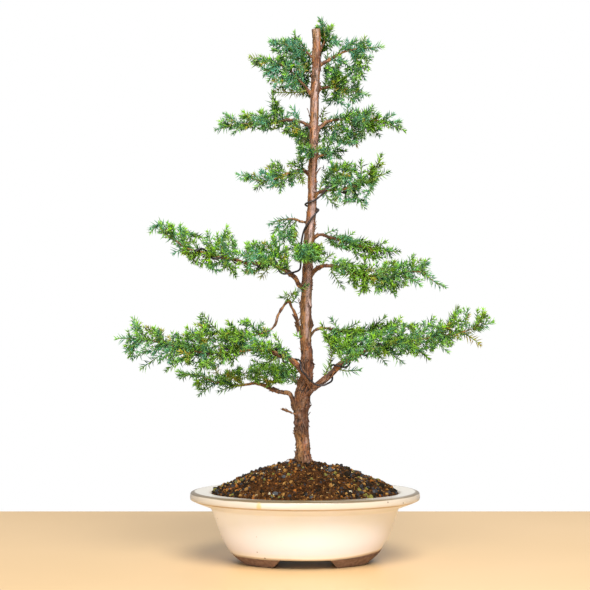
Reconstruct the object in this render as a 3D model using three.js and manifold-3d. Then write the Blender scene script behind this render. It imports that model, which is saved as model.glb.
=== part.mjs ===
// Foemina juniper bonsai, in millimetres, +Z up: a slim trunk with tiers of needled limbs, in an oval
// glazed pot. The origin is the centre of the plane that the pot's feet stand on. X runs along the pot,
// and Y towards its back.
// Parts: the pot with its four feet, two drain screens, the soil, the wood of the trunk and limbs, two
// training wires, and the green foliage: a leafy stem that runs on from each limb's bare wood, and
// single sprays nearer the trunk.
import * as THREE from "three";
import { mergeVertices } from "three/addons/utils/BufferGeometryUtils.js";
import Module from "manifold-3d";

const wasm = await Module();
wasm.setup();

// Driving dimensions
const gap = 0.3; // between pieces that touch
const ovalSides = 40;
const footHeight = 10;
const floorTop = 17.3;
const rimTop = 78;
const moundTop = 110;
const drainX = 40;
const drainRadius = 8;
const screenSide = 28;
const screenThick = 1;
const holeBottom = 62; // where the trunk's buried end stops
const wireRadius = 1.1;
const wirePitch = 27;
const whorlStep = 10.5; // from one whorl of needles to the next
const stemStep = 17; // the same on a leafy stem, between its side shoots
const rootStep = 4.5; // the places for side shoots on their stem
const whorlBase = 1.9; // a needle's root along its shoot
const needleLength = 7.2;
const needleLean = THREE.MathUtils.degToRad(50); // from the shoot's own direction
const seed = 20417;

const v3 = (x, y, z) => new THREE.Vector3(x, y, z);
const points = (rows) => rows.map(([x, y, z]) => v3(x, y, z));

// One seeded draw from 0 to 1 after another
let state = seed;
function draw() {
  state = (state + 0x6d2b79f5) >>> 0;
  let t = Math.imul(state ^ (state >>> 15), 1 | state);
  t = (t + Math.imul(t ^ (t >>> 7), 61 | t)) ^ t;
  return ((t ^ (t >>> 14)) >>> 0) / 4294967296;
}

// The trunk's line and its radius, from the buried end to the sawn top
const trunk = {
  route: points([
    [-2, 0, 62], [-2, 0, 90], [-2, 0, 108], [-2.2, 0, 122], [-3.5, 0.5, 145], [-4.4, 1, 165],
    [-2.6, 0.5, 184], [1.6, 0, 203], [1.7, -0.5, 230], [0.8, -0.5, 251], [1.5, 0, 292], [2.2, 0.5, 306],
    [3.8, 1, 352], [7.8, 0.5, 391], [8, 0, 424], [9.9, -0.5, 464], [10.7, 0, 511], [12.6, 0.5, 550],
    [13, 0.5, 573], [12.2, 0.5, 588],
  ]),
  radii: [6, 8.5, 10.2, 8.2, 7.6, 8.1, 8.6, 7.2, 6.2, 6.2, 6, 6.1, 5.5, 5.2, 5, 5, 4.9, 4.9, 4.4, 5],
};

// The limbs. wood is the share of the route that is bare wood: the rest is a leafy stem that ends at
// tip. near lists the tips of sprays on the bare wood, and far those of side shoots on the leafy stem.
const limbs = [
  {
    name: "left_low", radii: [3.4, 1.3], wood: 0.56, tip: [-146, 38, 203],
    route: [
      [-4, 1, 164], [-12, 4, 170], [-14, 7, 179], [-18, 10, 184.5], [-27, 14, 186], [-36, 17, 189],
      [-54, 24, 195], [-72, 30, 192.5], [-86, 34, 193.5], [-100, 37, 196], [-112, 39, 200],
      [-121, 41, 204],
    ],
    near: [[-62, 4, 214]],
    far: [[-98, 16, 186], [-121, 32, 180], [-86, -2, 210], [-108, 66, 219], [-127, 73, 192]],
  },
  {
    name: "back_low", radii: [2.6, 1.2], wood: 0.5, tip: [-44, 92, 203],
    route: [
      [-4, 2, 187], [-7, 12, 194], [-12, 26, 199], [-18, 42, 203], [-26, 58, 205], [-34, 72, 206],
    ],
    near: [[-30, 16, 214]],
    far: [[-8, 54, 195], [-22, 64, 217], [-50, 52, 213], [-62, 72, 220], [-14, 84, 206]],
  },
  {
    name: "left_main", radii: [3.9, 1.3], wood: 0.42, tip: [-208, -32, 247],
    route: [
      [7, -3, 191], [3, -9, 201], [-3, -12.5, 209], [-10, -14, 218.5], [-19, -16, 224.5],
      [-30, -19, 229], [-41, -22, 233.5], [-55, -25, 234.5], [-72, -27, 233.5], [-88, -28, 231],
      [-105, -29, 231], [-127, -30, 234.5], [-149, -31, 240], [-171, -32, 245.5],
    ],
    near: [[-35, -20, 253], [-50, -30, 217], [-56, -58, 242]],
    far: [
      [-81, -17, 215], [-93, -3, 257], [-114, -30, 275], [-129, -52, 261], [-112, -61, 216],
      [-165, -49, 260], [-190, -21, 271], [-195, -52, 232], [-181, -24, 212], [-152, -46, 211],
      [-138, 15, 238],
    ],
  },
  {
    name: "left_arch", radii: [2.4, 1.2], wood: 0.8, tip: [-88, 8, 251],
    route: [
      [-1, 0, 245], [-5.5, 3, 254], [-8, 5, 263], [-10.5, 7, 273], [-14.5, 8, 281.5], [-19, 9, 287],
      [-24, 9, 284.5], [-28, 9, 277], [-32, 8, 266], [-38, 7, 256.5], [-46, 6, 251.5],
      [-56, 5, 250], [-68, 4, 251],
    ],
    near: [[-8, 16, 299]],
    far: [[-88, 4, 267], [-64, -10, 268], [-46, 20, 264], [-76, 29, 241]],
  },
  {
    name: "left_mid", radii: [3.2, 1.2], wood: 0.5, tip: [-170, -27, 360],
    route: [
      [1, -1, 299], [-6.5, -3, 305], [-9.5, -4, 311.5], [-14.5, -6, 316], [-21, -8, 320.5],
      [-28, -10, 325], [-36, -12, 328], [-50, -15, 328.5], [-64, -17, 329.5], [-77, -19, 333],
      [-92, -21, 334.5], [-107, -23, 340], [-121, -25, 342], [-133, -26, 347], [-146, -26, 359],
      [-157, -26, 372],
    ],
    near: [[-22, -2, 347], [-38, -18, 360], [-50, -26, 312], [-46, -52, 333]],
    far: [
      [-74, -32, 312], [-84, -25, 371], [-107, -38, 365], [-115, -19, 323], [-136, -15, 373],
      [-146, -20, 338], [-159, -48, 363], [-100, 20, 348],
    ],
  },
  {
    name: "left_mid_back", radii: [1.9, 1.3], wood: 0.3, tip: [-42, 14, 371],
    route: [[3, 1, 374], [-5, 8, 375.5], [-10, 11, 378], [-24, 13, 378], [-32, 14, 376]],
    near: [],
    far: [[-28, 22, 355], [-12, 20, 353]],
  },
  {
    name: "front_mid", radii: [2, 1.3], wood: 0.35, tip: [6, -62, 341],
    route: [[3, -2, 329], [4, -10, 333], [4, -18, 336], [4, -30, 340], [4, -42, 342]],
    near: [],
    far: [[21, -46, 346], [19, -38, 329], [-11, -42, 334], [0, -34, 354]],
  },
  {
    name: "back_mid", radii: [2.2, 1.3], wood: 0.35, tip: [2, 82, 344],
    route: [[3, 2, 335], [4, 12, 338], [3, 22, 340], [1, 38, 343], [0, 54, 344]],
    near: [],
    far: [[-22, 50, 347], [25, 50, 342], [4, 56, 329], [-16, 74, 338]],
  },
  {
    name: "right_mid_low", radii: [2.8, 1.1], wood: 0.4, tip: [156, -20, 301],
    route: [
      [3, 0, 308], [9, -2, 318], [13, -4, 323.5], [20, -6, 326], [29, -8, 326], [44, -11, 322.5],
      [63, -14, 316], [83, -17, 314], [105, -19, 318], [121, -20, 320.5], [132, -20, 316],
      [142, -20, 308],
    ],
    near: [[32, -12, 340], [44, -10, 300], [48, -44, 322]],
    far: [
      [64, -31, 336], [58, -22, 293], [79, -32, 294], [101, -15, 291], [120, -9, 340],
      [136, -28, 335], [128, -34, 303], [92, 21, 326],
    ],
  },
  {
    name: "right_mid_high", radii: [2.3, 1.1], wood: 0.42, tip: [109, 26, 343],
    route: [
      [4, 2, 347], [9, 5, 354], [12, 7, 358.5], [17, 9, 361], [26, 12, 358.5], [39, 16, 355.5],
      [55, 20, 350.5], [72, 23, 346], [91, 25, 343],
    ],
    near: [[37, 10, 367], [36, 38, 350]],
    far: [[56, 23, 365], [92, 12, 355], [70, 61, 346], [60, 38, 333]],
  },
  {
    name: "right_low", radii: [5, 1.3], wood: 0.45, tip: [208, -26, 266],
    route: [
      [-3, -1, 180], [5, -3, 188], [14, -5, 194.5], [22, -7, 201], [29, -9, 208],
      [36.5, -11, 215.5], [44, -13, 221], [58.5, -16, 230], [76, -18, 235.5], [94, -20, 240],
      [110.5, -21, 243], [127, -22, 246], [149, -23, 249.5], [169, -24, 253],
    ],
    near: [[16, -22, 265], [63, -20, 213], [62, -6, 257], [62, -56, 236]],
    far: [
      [90, -7, 217], [108, -31, 219], [138, -14, 222], [156, -38, 231], [194, -21, 238],
      [195, -44, 277], [169, -13, 283], [143, -8, 272], [106, -14, 272], [122, -75, 246],
      [126, 28, 248],
    ],
  },
  {
    name: "right_low_back", radii: [1.9, 1.1], wood: 0.42, tip: [112, 34, 262],
    route: [
      [3, 2, 245], [9, 5, 253], [14.5, 8, 256.5], [25, 12, 257], [39, 17, 254], [58, 23, 253],
      [80, 28, 254.5],
    ],
    near: [],
    far: [[28, 26, 270], [62, 16, 274], [92, 18, 272], [66, 54, 250], [48, 34, 236]],
  },
  {
    name: "left_upper", radii: [1.9, 1.1], wood: 0.45, tip: [-78, -10, 428],
    route: [
      [7, 0, 423], [1, -2, 430], [-7, -4, 432], [-19, -6, 428], [-33, -8, 422], [-47, -9, 419.5],
    ],
    near: [[-6, 8, 448], [-2, -32, 414]],
    far: [[-38, 3, 444], [-28, -16, 404], [-56, -30, 408], [-36, 31, 430]],
  },
  {
    name: "right_upper", radii: [2.5, 1.3], wood: 0.5, tip: [95, -10, 431],
    route: [
      [8, -1, 399], [14, -4, 406.5], [25, -6, 409.5], [44, -9, 410.5], [62, -10, 416],
      [80, -11, 423.5],
    ],
    near: [[34, -2, 437], [37, -14, 389]],
    far: [[67, -16, 387], [62, -1, 445], [84, -18, 450], [62, -52, 420], [58, 35, 414]],
  },
  {
    name: "right_upper_back", radii: [1.9, 1.2], wood: 0.4, tip: [48, 14, 455],
    route: [[8, 1, 440], [15, 6, 447], [22, 9, 450], [34, 12, 453]],
    near: [],
    far: [[30, 4, 465], [30, 30, 440]],
  },
  {
    name: "front_upper", radii: [1.6, 1.2], wood: 0.4, tip: [2, -32, 446],
    route: [[9, -1, 446], [8, -8, 448], [6, -16, 450]],
    near: [],
    far: [[18, -20, 457]],
  },
  {
    name: "left_high", radii: [2.1, 1.1], wood: 0.5, tip: [-101, -9, 475],
    route: [
      [10, 0, 473], [4, -2, 480.5], [-5, -4, 485.5], [-19, -5, 486.5], [-33, -6, 484],
      [-50, -8, 482], [-68, -9, 482],
    ],
    near: [[-17, -2, 503], [-26, -16, 470]],
    far: [
      [-91, -19, 494], [-70, 1, 498], [-36, -9, 520], [-80, -22, 469], [-52, -47, 484],
      [-46, 34, 486],
    ],
  },
  {
    name: "back_high", radii: [1.8, 1.2], wood: 0.4, tip: [0, 60, 474],
    route: [[9, 2, 465], [5, 12, 470], [2, 22, 472], [0, 36, 473]],
    near: [],
    far: [[-16, 34, 479], [-4, 32, 456], [18, 46, 468]],
  },
  {
    name: "right_high", radii: [2.2, 1.1], wood: 0.45, tip: [113, -4, 474],
    route: [
      [11, 0, 469], [17, 1, 479], [23, 2, 485], [33, 2, 487.5], [47, 1, 488], [63, 0, 486.5],
      [83, -2, 486],
    ],
    near: [[22, 8, 503], [32, 4, 463]],
    far: [
      [100, -13, 494], [76, -16, 502], [48, -6, 506], [58, 8, 457], [84, 6, 468], [68, -53, 484],
      [72, 42, 486],
    ],
  },
  {
    name: "crown_left", radii: [2, 1.2], wood: 0.72, tip: [-64, -6, 556],
    route: [
      [10, 0, 510], [3, -2, 520], [-4, -3, 528.5], [-13, -4, 538], [-21, -5, 545.5], [-34, -6, 550],
    ],
    near: [[-38, -6, 518]],
    far: [[-46, -14, 535], [-36, 28, 556]],
  },
  {
    name: "crown_top_left", radii: [1.7, 1.1], wood: 0.4, tip: [-41, 0, 575],
    route: [[12, 1, 550], [6, 2, 559], [-1, 2, 564.5], [-12, 2, 568], [-24, 1, 571]],
    near: [],
    far: [[-13, 8, 588], [-31, 14, 557], [-14, -40, 570], [-8, 41, 568]],
  },
  {
    name: "crown_right", radii: [2, 1.2], wood: 0.55, tip: [89, -4, 568],
    route: [
      [13, 0, 543], [20, -1, 549.5], [30, -2, 554.5], [39, -3, 560.5], [50, -3, 564], [66, -4, 566],
    ],
    near: [[42, 4, 536]],
    far: [[67, -12, 579], [47, 7, 578], [67, 7, 531], [60, 35, 562]],
  },
  {
    name: "crown_right_low", radii: [1.7, 1.1], wood: 0.45, tip: [73, 6, 515],
    route: [[12, 1, 516], [19, 3, 523], [29, 5, 524], [41, 6, 522.5], [54, 6, 520]],
    near: [],
    far: [[44, 17, 537], [26, 30, 507], [54, -2, 504], [34, 48, 530]],
  },
  {
    name: "leader", radii: [1.7, 1.2], wood: 0.4, tip: [17, 4, 602],
    route: [[13, 2, 559], [19, 5, 568], [22, 7, 577], [20, 6, 592]],
    near: [],
    far: [[32, 3, 594], [43, 8, 575], [38, -20, 567], [20, 39, 580]],
  },
];

// Solids

// A closed solid from vertices and triangles, turned to face outwards
function solid(vertices, triangles) {
  const build = (tris) =>
    new wasm.Manifold(
      new wasm.Mesh({
        numProp: 3,
        vertProperties: Float32Array.from(vertices.flatMap((p) => p.toArray())),
        triVerts: Uint32Array.from(tris.flat()),
      }),
    );
  const made = build(triangles);
  return made.volume() > 0 ? made : build(triangles.map(([a, b, c]) => [a, c, b]));
}

// A closed solid from one of three.js's own geometries
function solidOf(geometry) {
  const bare = geometry.index ? geometry.toNonIndexed() : geometry.clone();
  bare.deleteAttribute("normal");
  bare.deleteAttribute("uv");
  const merged = mergeVertices(bare, 1e-4);
  const { array } = merged.attributes.position;
  const vertices = Array.from({ length: array.length / 3 }, (_, i) => v3().fromArray(array, 3 * i));
  const { array: index } = merged.index;
  const triangles = Array.from({ length: index.length / 3 }, (_, i) => [...index.slice(3 * i, 3 * i + 3)]);
  return solid(vertices, triangles);
}

// Rings with the same number of points, skinned one to the next and closed with a fan at each end
function loft(rings) {
  const sides = rings[0].length;
  const centre = (ring) => ring.reduce((sum, p) => sum.add(p), v3(0, 0, 0)).divideScalar(sides);
  const vertices = [...rings.flat(), centre(rings[0]), centre(rings.at(-1))];
  const [first, last] = [vertices.length - 2, vertices.length - 1];
  const top = (rings.length - 1) * sides;
  const triangles = [];
  for (let i = 0; i < sides; i++) {
    const j = (i + 1) % sides;
    for (let k = 0; k < top; k += sides) {
      triangles.push([k + i, k + j, k + sides + j], [k + i, k + sides + j, k + sides + i]);
    }
    triangles.push([first, j, i], [last, top + i, top + j]);
  }
  return solid(vertices, triangles);
}

// An oval ring of half length a and half depth b
const oval = ([a, b, z]) =>
  Array.from({ length: ovalSides }, (_, i) => {
    const turn = (2 * Math.PI * i) / ovalSides;
    return v3(a * Math.cos(turn), b * Math.sin(turn), z);
  });

const joined = (solids) => wasm.Manifold.union(solids);

function mesh(name, made, material) {
  const data = made.getMesh();
  const geometry = new THREE.BufferGeometry();
  geometry.setAttribute("position", new THREE.BufferAttribute(data.vertProperties, 3));
  geometry.setIndex(new THREE.BufferAttribute(data.triVerts, 1));
  const part = new THREE.Mesh(geometry, material);
  part.name = name;
  return part;
}

// Pot: one fired piece, with a broad lip, a tapered wall and four feet cut from a foot ring

const potProfile = [
  [82, 63, footHeight], [91, 69.5, 24], [104, 77.5, 60], [122, 95, 65.5], [127, 100, 70.5],
  [126.5, 99.5, 76], [123, 96, rimTop], [106, 79, 77], [103.5, 76.5, 75], [84, 60, floorTop],
];

function makePot() {
  const bowl = loft(potProfile.map(oval));
  const ring = loft([[73, 54, 0], [83, 64, footHeight + 0.5]].map(oval));
  const hollow = loft([[58, 40, -1], [62, 44, footHeight]].map(oval));
  const notch = (across, length) => {
    const outline = new THREE.Shape([
      new THREE.Vector2(-across / 2 - 8, -1),
      new THREE.Vector2(across / 2 + 8, -1),
      new THREE.Vector2(across / 2, footHeight),
      new THREE.Vector2(-across / 2, footHeight),
    ]);
    const cut = new THREE.ExtrudeGeometry(outline, { depth: length, bevelEnabled: false });
    return cut.translate(0, 0, -length / 2).rotateX(Math.PI / 2);
  };
  const notches = joined([solidOf(notch(54, 200)), solidOf(notch(34, 300).rotateZ(Math.PI / 2))]);
  const feet = ring.subtract(hollow).subtract(notches);
  const drain = (x) => {
    const hole = new THREE.CylinderGeometry(drainRadius, drainRadius, 20, 16).rotateX(Math.PI / 2);
    return solidOf(hole.translate(x, 0, floorTop - 4));
  };
  return joined([bowl, feet]).subtract(drain(-drainX)).subtract(drain(drainX));
}

// Drain screen: a square of plastic mesh that lies over each drain hole, under the soil
function makeScreen(x) {
  const bar = 2.4;
  const open = (screenSide - 4 * bar) / 3;
  const middle = floorTop + gap + screenThick / 2;
  const block = (side, thick, dx, dy) =>
    solidOf(new THREE.BoxGeometry(side, side, thick).translate(x + dx, dy, middle));
  const places = [-1, 0, 1].map((step) => step * (open + bar));
  const openings = places.flatMap((dx) => places.map((dy) => block(open, 3 * screenThick, dx, dy)));
  return block(screenSide, screenThick, 0, 0).subtract(joined(openings));
}

// Wood: a tapered tube along a curve, with its sides gently fluted like old bark

function frames(curve, steps) {
  const { tangents, normals, binormals } = curve.computeFrenetFrames(steps, false);
  return Array.from({ length: steps + 1 }, (_, k) => ({
    at: curve.getPointAt(k / steps), along: tangents[k], normal: normals[k], side: binormals[k],
  }));
}

const turned = ({ normal, side }, turn) =>
  normal.clone().multiplyScalar(Math.cos(turn)).addScaledVector(side, Math.sin(turn));
const around = (frame, radius, turn) => frame.at.clone().addScaledVector(turned(frame, turn), radius);

function tube(curve, radiusAt, sides, steps, flute = 0) {
  const rings = frames(curve, steps).map((frame, k) =>
    Array.from({ length: sides }, (_, i) => {
      const turn = (2 * Math.PI * i) / sides;
      const ridge = 1 + flute * Math.sin(3 * turn + k * 0.9) + 0.6 * flute * Math.sin(5 * turn - k * 1.7);
      return around(frame, radiusAt(k / steps) * ridge, turn);
    }),
  );
  return loft(rings);
}

// A value that runs through a list as share goes from 0 to 1
function along(list, share) {
  const place = Math.min(share, 0.999999) * (list.length - 1);
  const low = Math.floor(place);
  return THREE.MathUtils.lerp(list[low], list[low + 1], place - low);
}

// The part of a curve from one share of its length to another
class Stretch extends THREE.Curve {
  constructor(curve, from, to) {
    super();
    Object.assign(this, { curve, from, to });
  }
  getPoint(share, target = new THREE.Vector3()) {
    return this.curve.getPointAt(THREE.MathUtils.lerp(this.from, this.to, share), target);
  }
}

// The trunk's radius by height, for what has to lie against it
function trunkAt(z) {
  const { route, radii } = trunk;
  const k = Math.max(1, route.findIndex((p) => p.z >= z));
  const share = (z - route[k - 1].z) / (route[k].z - route[k - 1].z);
  return {
    centre: route[k - 1].clone().lerp(route[k], share),
    radius: THREE.MathUtils.lerp(radii[k - 1], radii[k], share),
  };
}

const trunkSides = 10;
const trunkRings = trunk.route.map((centre, k) =>
  Array.from({ length: trunkSides }, (_, i) => {
    const turn = (2 * Math.PI * i) / trunkSides;
    const ridge = 1 + 0.05 * Math.sin(3 * turn + k) + 0.03 * Math.sin(5 * turn - 2 * k);
    return v3(Math.cos(turn), Math.sin(turn), 0).multiplyScalar(trunk.radii[k] * ridge).add(centre);
  }),
);

for (const limb of limbs) {
  limb.curve = new THREE.CatmullRomCurve3(points(limb.route), false, "centripetal");
  limb.length = limb.curve.getLength();
  limb.radiusAt = (share) => THREE.MathUtils.lerp(limb.radii[0], limb.radii[1], Math.min(1, share) ** 0.7);
}

// Roots that spread from the trunk's foot and dive into the soil
const roots = [0.5, 2.1, 3.4, 5.2].map((turn, i) => {
  const reach = (out, z) => v3(out * Math.cos(turn) - 2, out * Math.sin(turn), z);
  return new THREE.CatmullRomCurve3([reach(3, 113), reach(9, 109.5 - i / 2), reach(17, 102), reach(23, 92)]);
});
const rootTube = (curve, spare) => tube(curve, (share) => 3.6 - 1.8 * share + spare, 5, 3);

function makeWood() {
  const bare = limbs.map(({ curve, wood, radii, radiusAt, length }) => {
    const steps = Math.max(3, Math.round((wood * length) / 16));
    return tube(new Stretch(curve, 0, wood), (share) => radiusAt(share * wood), radii[0] > 2.6 ? 6 : 5, steps, 0.04);
  });
  const deadEnd = points([[-5, -4, 161], [-13, -6, 164], [-19, -7, 166.5], [-25, -8, 169]]);
  const deadTwig = tube(new THREE.CatmullRomCurve3(deadEnd), (share) => 1.1 + 0.6 * share ** 3, 5, 3);
  return joined([loft(trunkRings), ...bare, ...roots.map((root) => rootTube(root, 0)), deadTwig]);
}

// Soil: it fills the pot and rises in a mound round the trunk, its top broken up by grains

function makeSoil() {
  const under = [[83.6, 59.6, floorTop + gap], [103.1, 76.1, 75]];
  const shares = [0.98, 0.88, 0.76, 0.63, 0.49, 0.34, 0.19];
  const top = shares.map((share, k) =>
    oval([102.9 * share, 75.9 * share, 0]).map((p) => {
      const grain = k === 0 ? 0.6 * draw() : 2.8 * (draw() - 0.5);
      return v3(p.x + 2.4 * (draw() - 0.5), p.y + 2.4 * (draw() - 0.5), moundHeight(share) + grain);
    }),
  );
  const buried = trunkRings.map((ring, k) => {
    const { x, y, z } = trunk.route[k];
    const wider = (p) => v3(x, y, z).lerp(p, 1 + gap / Math.hypot(p.x - x, p.y - y));
    return ring.map((p) => wider(p).setZ(k === 0 ? z - gap : z));
  });
  const pocket = (x) => {
    const room = new THREE.BoxGeometry(screenSide + 2 * gap, screenSide + 2 * gap, 2 * (screenThick + gap));
    return solidOf(room.translate(x, 0, floorTop + gap));
  };
  const stub = [loft(buried.slice(0, 5)), ...roots.map((root) => rootTube(root, gap))];
  const hollows = joined([...stub, pocket(-drainX), pocket(drainX)]);
  const filled = loft([...under.map(oval), ...top]).subtract(hollows);
  return filled.decompose().sort((a, b) => b.volume() - a.volume())[0]; // loose crumbs are dropped
}

const moundHeight = (share) => 76.6 + (moundTop - 76.6) * (1 - share ** 1.7);

// Wires: each is one round wire wound along two limbs, and past the trunk between them

// Points round a limb, clear of its bark. Turn 0 is above the limb, and a quarter turn on is in front.
function wrap({ curve, radiusAt, length }, from, to, startTurn, way) {
  const perTurn = 6;
  const steps = Math.round((Math.abs(to - from) * length * perTurn) / wirePitch);
  return Array.from({ length: steps + 1 }, (_, k) => {
    const share = THREE.MathUtils.lerp(from, to, k / steps);
    const tangent = curve.getTangentAt(share);
    const front = tangent.clone().cross(v3(0, 0, 1)).normalize();
    if (front.y > 0) front.negate();
    const up = front.clone().cross(tangent).normalize();
    if (up.z < 0) up.negate();
    const turn = startTurn + (way * 2 * Math.PI * k) / perTurn;
    const reach = (radiusAt(share) * 1.07 + gap + wireRadius) / Math.cos(Math.PI / perTurn);
    return around({ at: curve.getPointAt(share), normal: up, side: front }, reach, turn);
  });
}

// Points round the trunk, as pairs of a turn in degrees from +X and a height
const roundTrunk = (pairs) =>
  pairs.map(([degrees, z]) => {
    const { centre, radius } = trunkAt(z);
    const reach = radius * 1.08 + gap + wireRadius + 0.5;
    const turn = THREE.MathUtils.degToRad(degrees);
    return v3(centre.x + reach * Math.cos(turn), centre.y + reach * Math.sin(turn), z);
  });

const limbNamed = (name) => limbs.find((limb) => limb.name === name);

const wirePaths = {
  wire_low: [
    ...wrap(limbNamed("left_main"), 0.8, 0.17, 2.1, 1),
    v3(-4, -20.5, 212), v3(1, -19.5, 206), v3(6, -15.5, 200), v3(13, -13.5, 195.5), v3(20, -12.5, 195),
    ...wrap(limbNamed("right_low"), 0.17, 0.8, 2.6, 1),
  ],
  wire_mid: [
    ...wrap(limbNamed("right_upper"), 0.78, 0.22, 4.2, 1),
    ...roundTrunk([
      [-65, 398.5], [-120, 396], [-180, 394], [-240, 392], [-300, 390], [-360, 388], [-410, 384],
      [-450, 377], [-500, 366], [-530, 352], [-545, 336], [-540, 323],
    ]),
    ...wrap(limbNamed("left_mid"), 0.13, 0.78, 0.6, 1),
  ],
};

function makeWire(path) {
  const curve = new THREE.CatmullRomCurve3(path, false, "centripetal");
  const corners = Array.from({ length: 5 }, (_, i) => {
    const turn = (2 * Math.PI * i) / 5;
    return new THREE.Vector2(wireRadius * Math.cos(turn), wireRadius * Math.sin(turn));
  });
  const along = { steps: path.length, extrudePath: curve, bevelEnabled: false };
  return solidOf(new THREE.ExtrudeGeometry(new THREE.Shape(corners), along));
}

// Foliage

// Everything that the shoots and needles keep clear of, as rods with a radius at each end
const rods = [];

function addRods(owner, curve, radiusAt, steps) {
  for (let k = 0; k < steps; k++) {
    const [from, to] = [curve.getPointAt(k / steps), curve.getPointAt((k + 1) / steps)];
    rods.push({ owner, from, to, radius: Math.max(radiusAt(k / steps), radiusAt((k + 1) / steps)) });
  }
}

// The least distance between two straight lengths
function lineGap(a, b, c, d) {
  const [u, w, r] = [b.clone().sub(a), d.clone().sub(c), a.clone().sub(c)];
  const [uu, uw, ww, ur, wr] = [u.dot(u), u.dot(w), w.dot(w), u.dot(r), w.dot(r)];
  const clamp = (x) => Math.min(1, Math.max(0, x));
  const flat = uu * ww - uw * uw;
  let s = flat > 1e-9 ? clamp((uw * wr - ww * ur) / flat) : 0;
  const t = clamp((uw * s + wr) / ww);
  s = clamp((uw * t - ur) / uu);
  return a.clone().addScaledVector(u, s).distanceTo(c.clone().addScaledVector(w, t));
}

const midway = (rod) => rod.from.clone().lerp(rod.to, 0.5);

// The room between a straight length and the nearest rod that counts
function room(from, to, radius, counts) {
  const middle = from.clone().lerp(to, 0.5);
  const half = from.distanceTo(to) / 2;
  let least = Infinity;
  for (const rod of rods) {
    if (!counts(rod)) continue;
    rod.middle ??= midway(rod);
    rod.half ??= rod.from.distanceTo(rod.to) / 2;
    if (middle.distanceTo(rod.middle) - half - rod.half - radius - rod.radius > 4) continue;
    least = Math.min(least, lineGap(from, to, rod.from, rod.to) - radius - rod.radius);
  }
  return least;
}

// Where a ray from inside the wood comes out, a gap clear of the bark there, and the bark's direction
const bark = { solid: makeWood() };
function barkSeat(inside, outward) {
  bark.probe ??= mesh("bark", bark.solid, new THREE.MeshBasicMaterial({ side: THREE.DoubleSide }));
  const [hit] = new THREE.Raycaster(inside, outward).intersectObject(bark.probe);
  const { normal } = hit.face;
  return { root: hit.point.clone().addScaledVector(normal, gap), normal: normal.clone() };
}

const shootRadius = (share) => 0.95 - 0.4 * share;

// The line of a side shoot: it leaves the stem between startShare and endShare, and bends to its tip.
// It moves along the stem and bows to either side until it is clear of everything but its own stem.
function sideLine(stem, tip, owner, startShare, endShare, offStem) {
  const target = v3(...tip);
  const leans = [];
  const first = Math.ceil((startShare * stem.length) / rootStep);
  for (let place = first; place * rootStep <= endShare * stem.length; place++) {
    const share = (place * rootStep) / stem.length;
    const away = target.clone().sub(stem.curve.getPointAt(share));
    const lean = away.angleTo(stem.curve.getTangentAt(share));
    const crowd = stem.taken.filter((taken) => Math.abs(taken - share) < 1e-6).length;
    const full = [0, 0.5, 1, 9][Math.min(3, crowd)];
    leans.push({ share, cost: Math.abs(lean - 0.85) + away.length() / 90 + full });
  }
  leans.sort((a, b) => a.cost - b.cost);
  let best = { clear: -Infinity };
  for (const bow of [0, 5, -5, 10, -10, 15, -15]) {
    for (const { share } of leans.slice(0, 10)) {
      const centre = stem.curve.getPointAt(share);
      const tangent = stem.curve.getTangentAt(share);
      const away = target.clone().sub(centre);
      const outward = away.clone().addScaledVector(tangent, -away.dot(tangent)).normalize();
      const seat = offStem && barkSeat(centre, outward);
      const root = offStem ? seat.root : centre;
      const heading = offStem ? seat.normal : away.clone().normalize().lerp(tangent, 0.35).normalize();
      const bend = root.clone().addScaledVector(heading, 0.3 * away.length());
      bend.lerp(root.clone().lerp(target, 0.45), 0.4).add(v3(0, bow, 0));
      const curve = arc(root, heading, bend, target);
      let clear = Infinity;
      for (let k = 0; k < 6 && clear > 0.6; k++) {
        const [from, to] = [curve.getPointAt(k / 6), curve.getPointAt((k + 1) / 6)];
        const others = (rod) => rod.owner !== owner && !(k === 0 && rod.owner === stem.owner);
        const own = (rod) => rod.owner === owner && k > 1;
        clear = Math.min(clear, room(from, to, 0.9, others), room(from, to, 0.9, own) + 0.2);
      }
      if (clear > best.clear) best = { clear, curve, share, bend, target };
      if (clear > 0.6) break;
    }
    if (best.clear > 0.6) break;
  }
  if (best.clear < 0.35) console.warn(`${owner}: the shoot to ${tip} is too close to another piece`);
  stem.taken.push(best.share);
  return best;
}

const sidesOfThree = [[0, 1], [1, 2], [2, 0]];
const middleOf = (corners) =>
  corners.reduce((sum, p) => sum.add(p), v3(0, 0, 0)).divideScalar(corners.length);
const arc = (root, heading, bend, target) =>
  new THREE.CubicBezierCurve3(root, root.clone().addScaledVector(heading, 2.5), bend, target);

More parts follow.
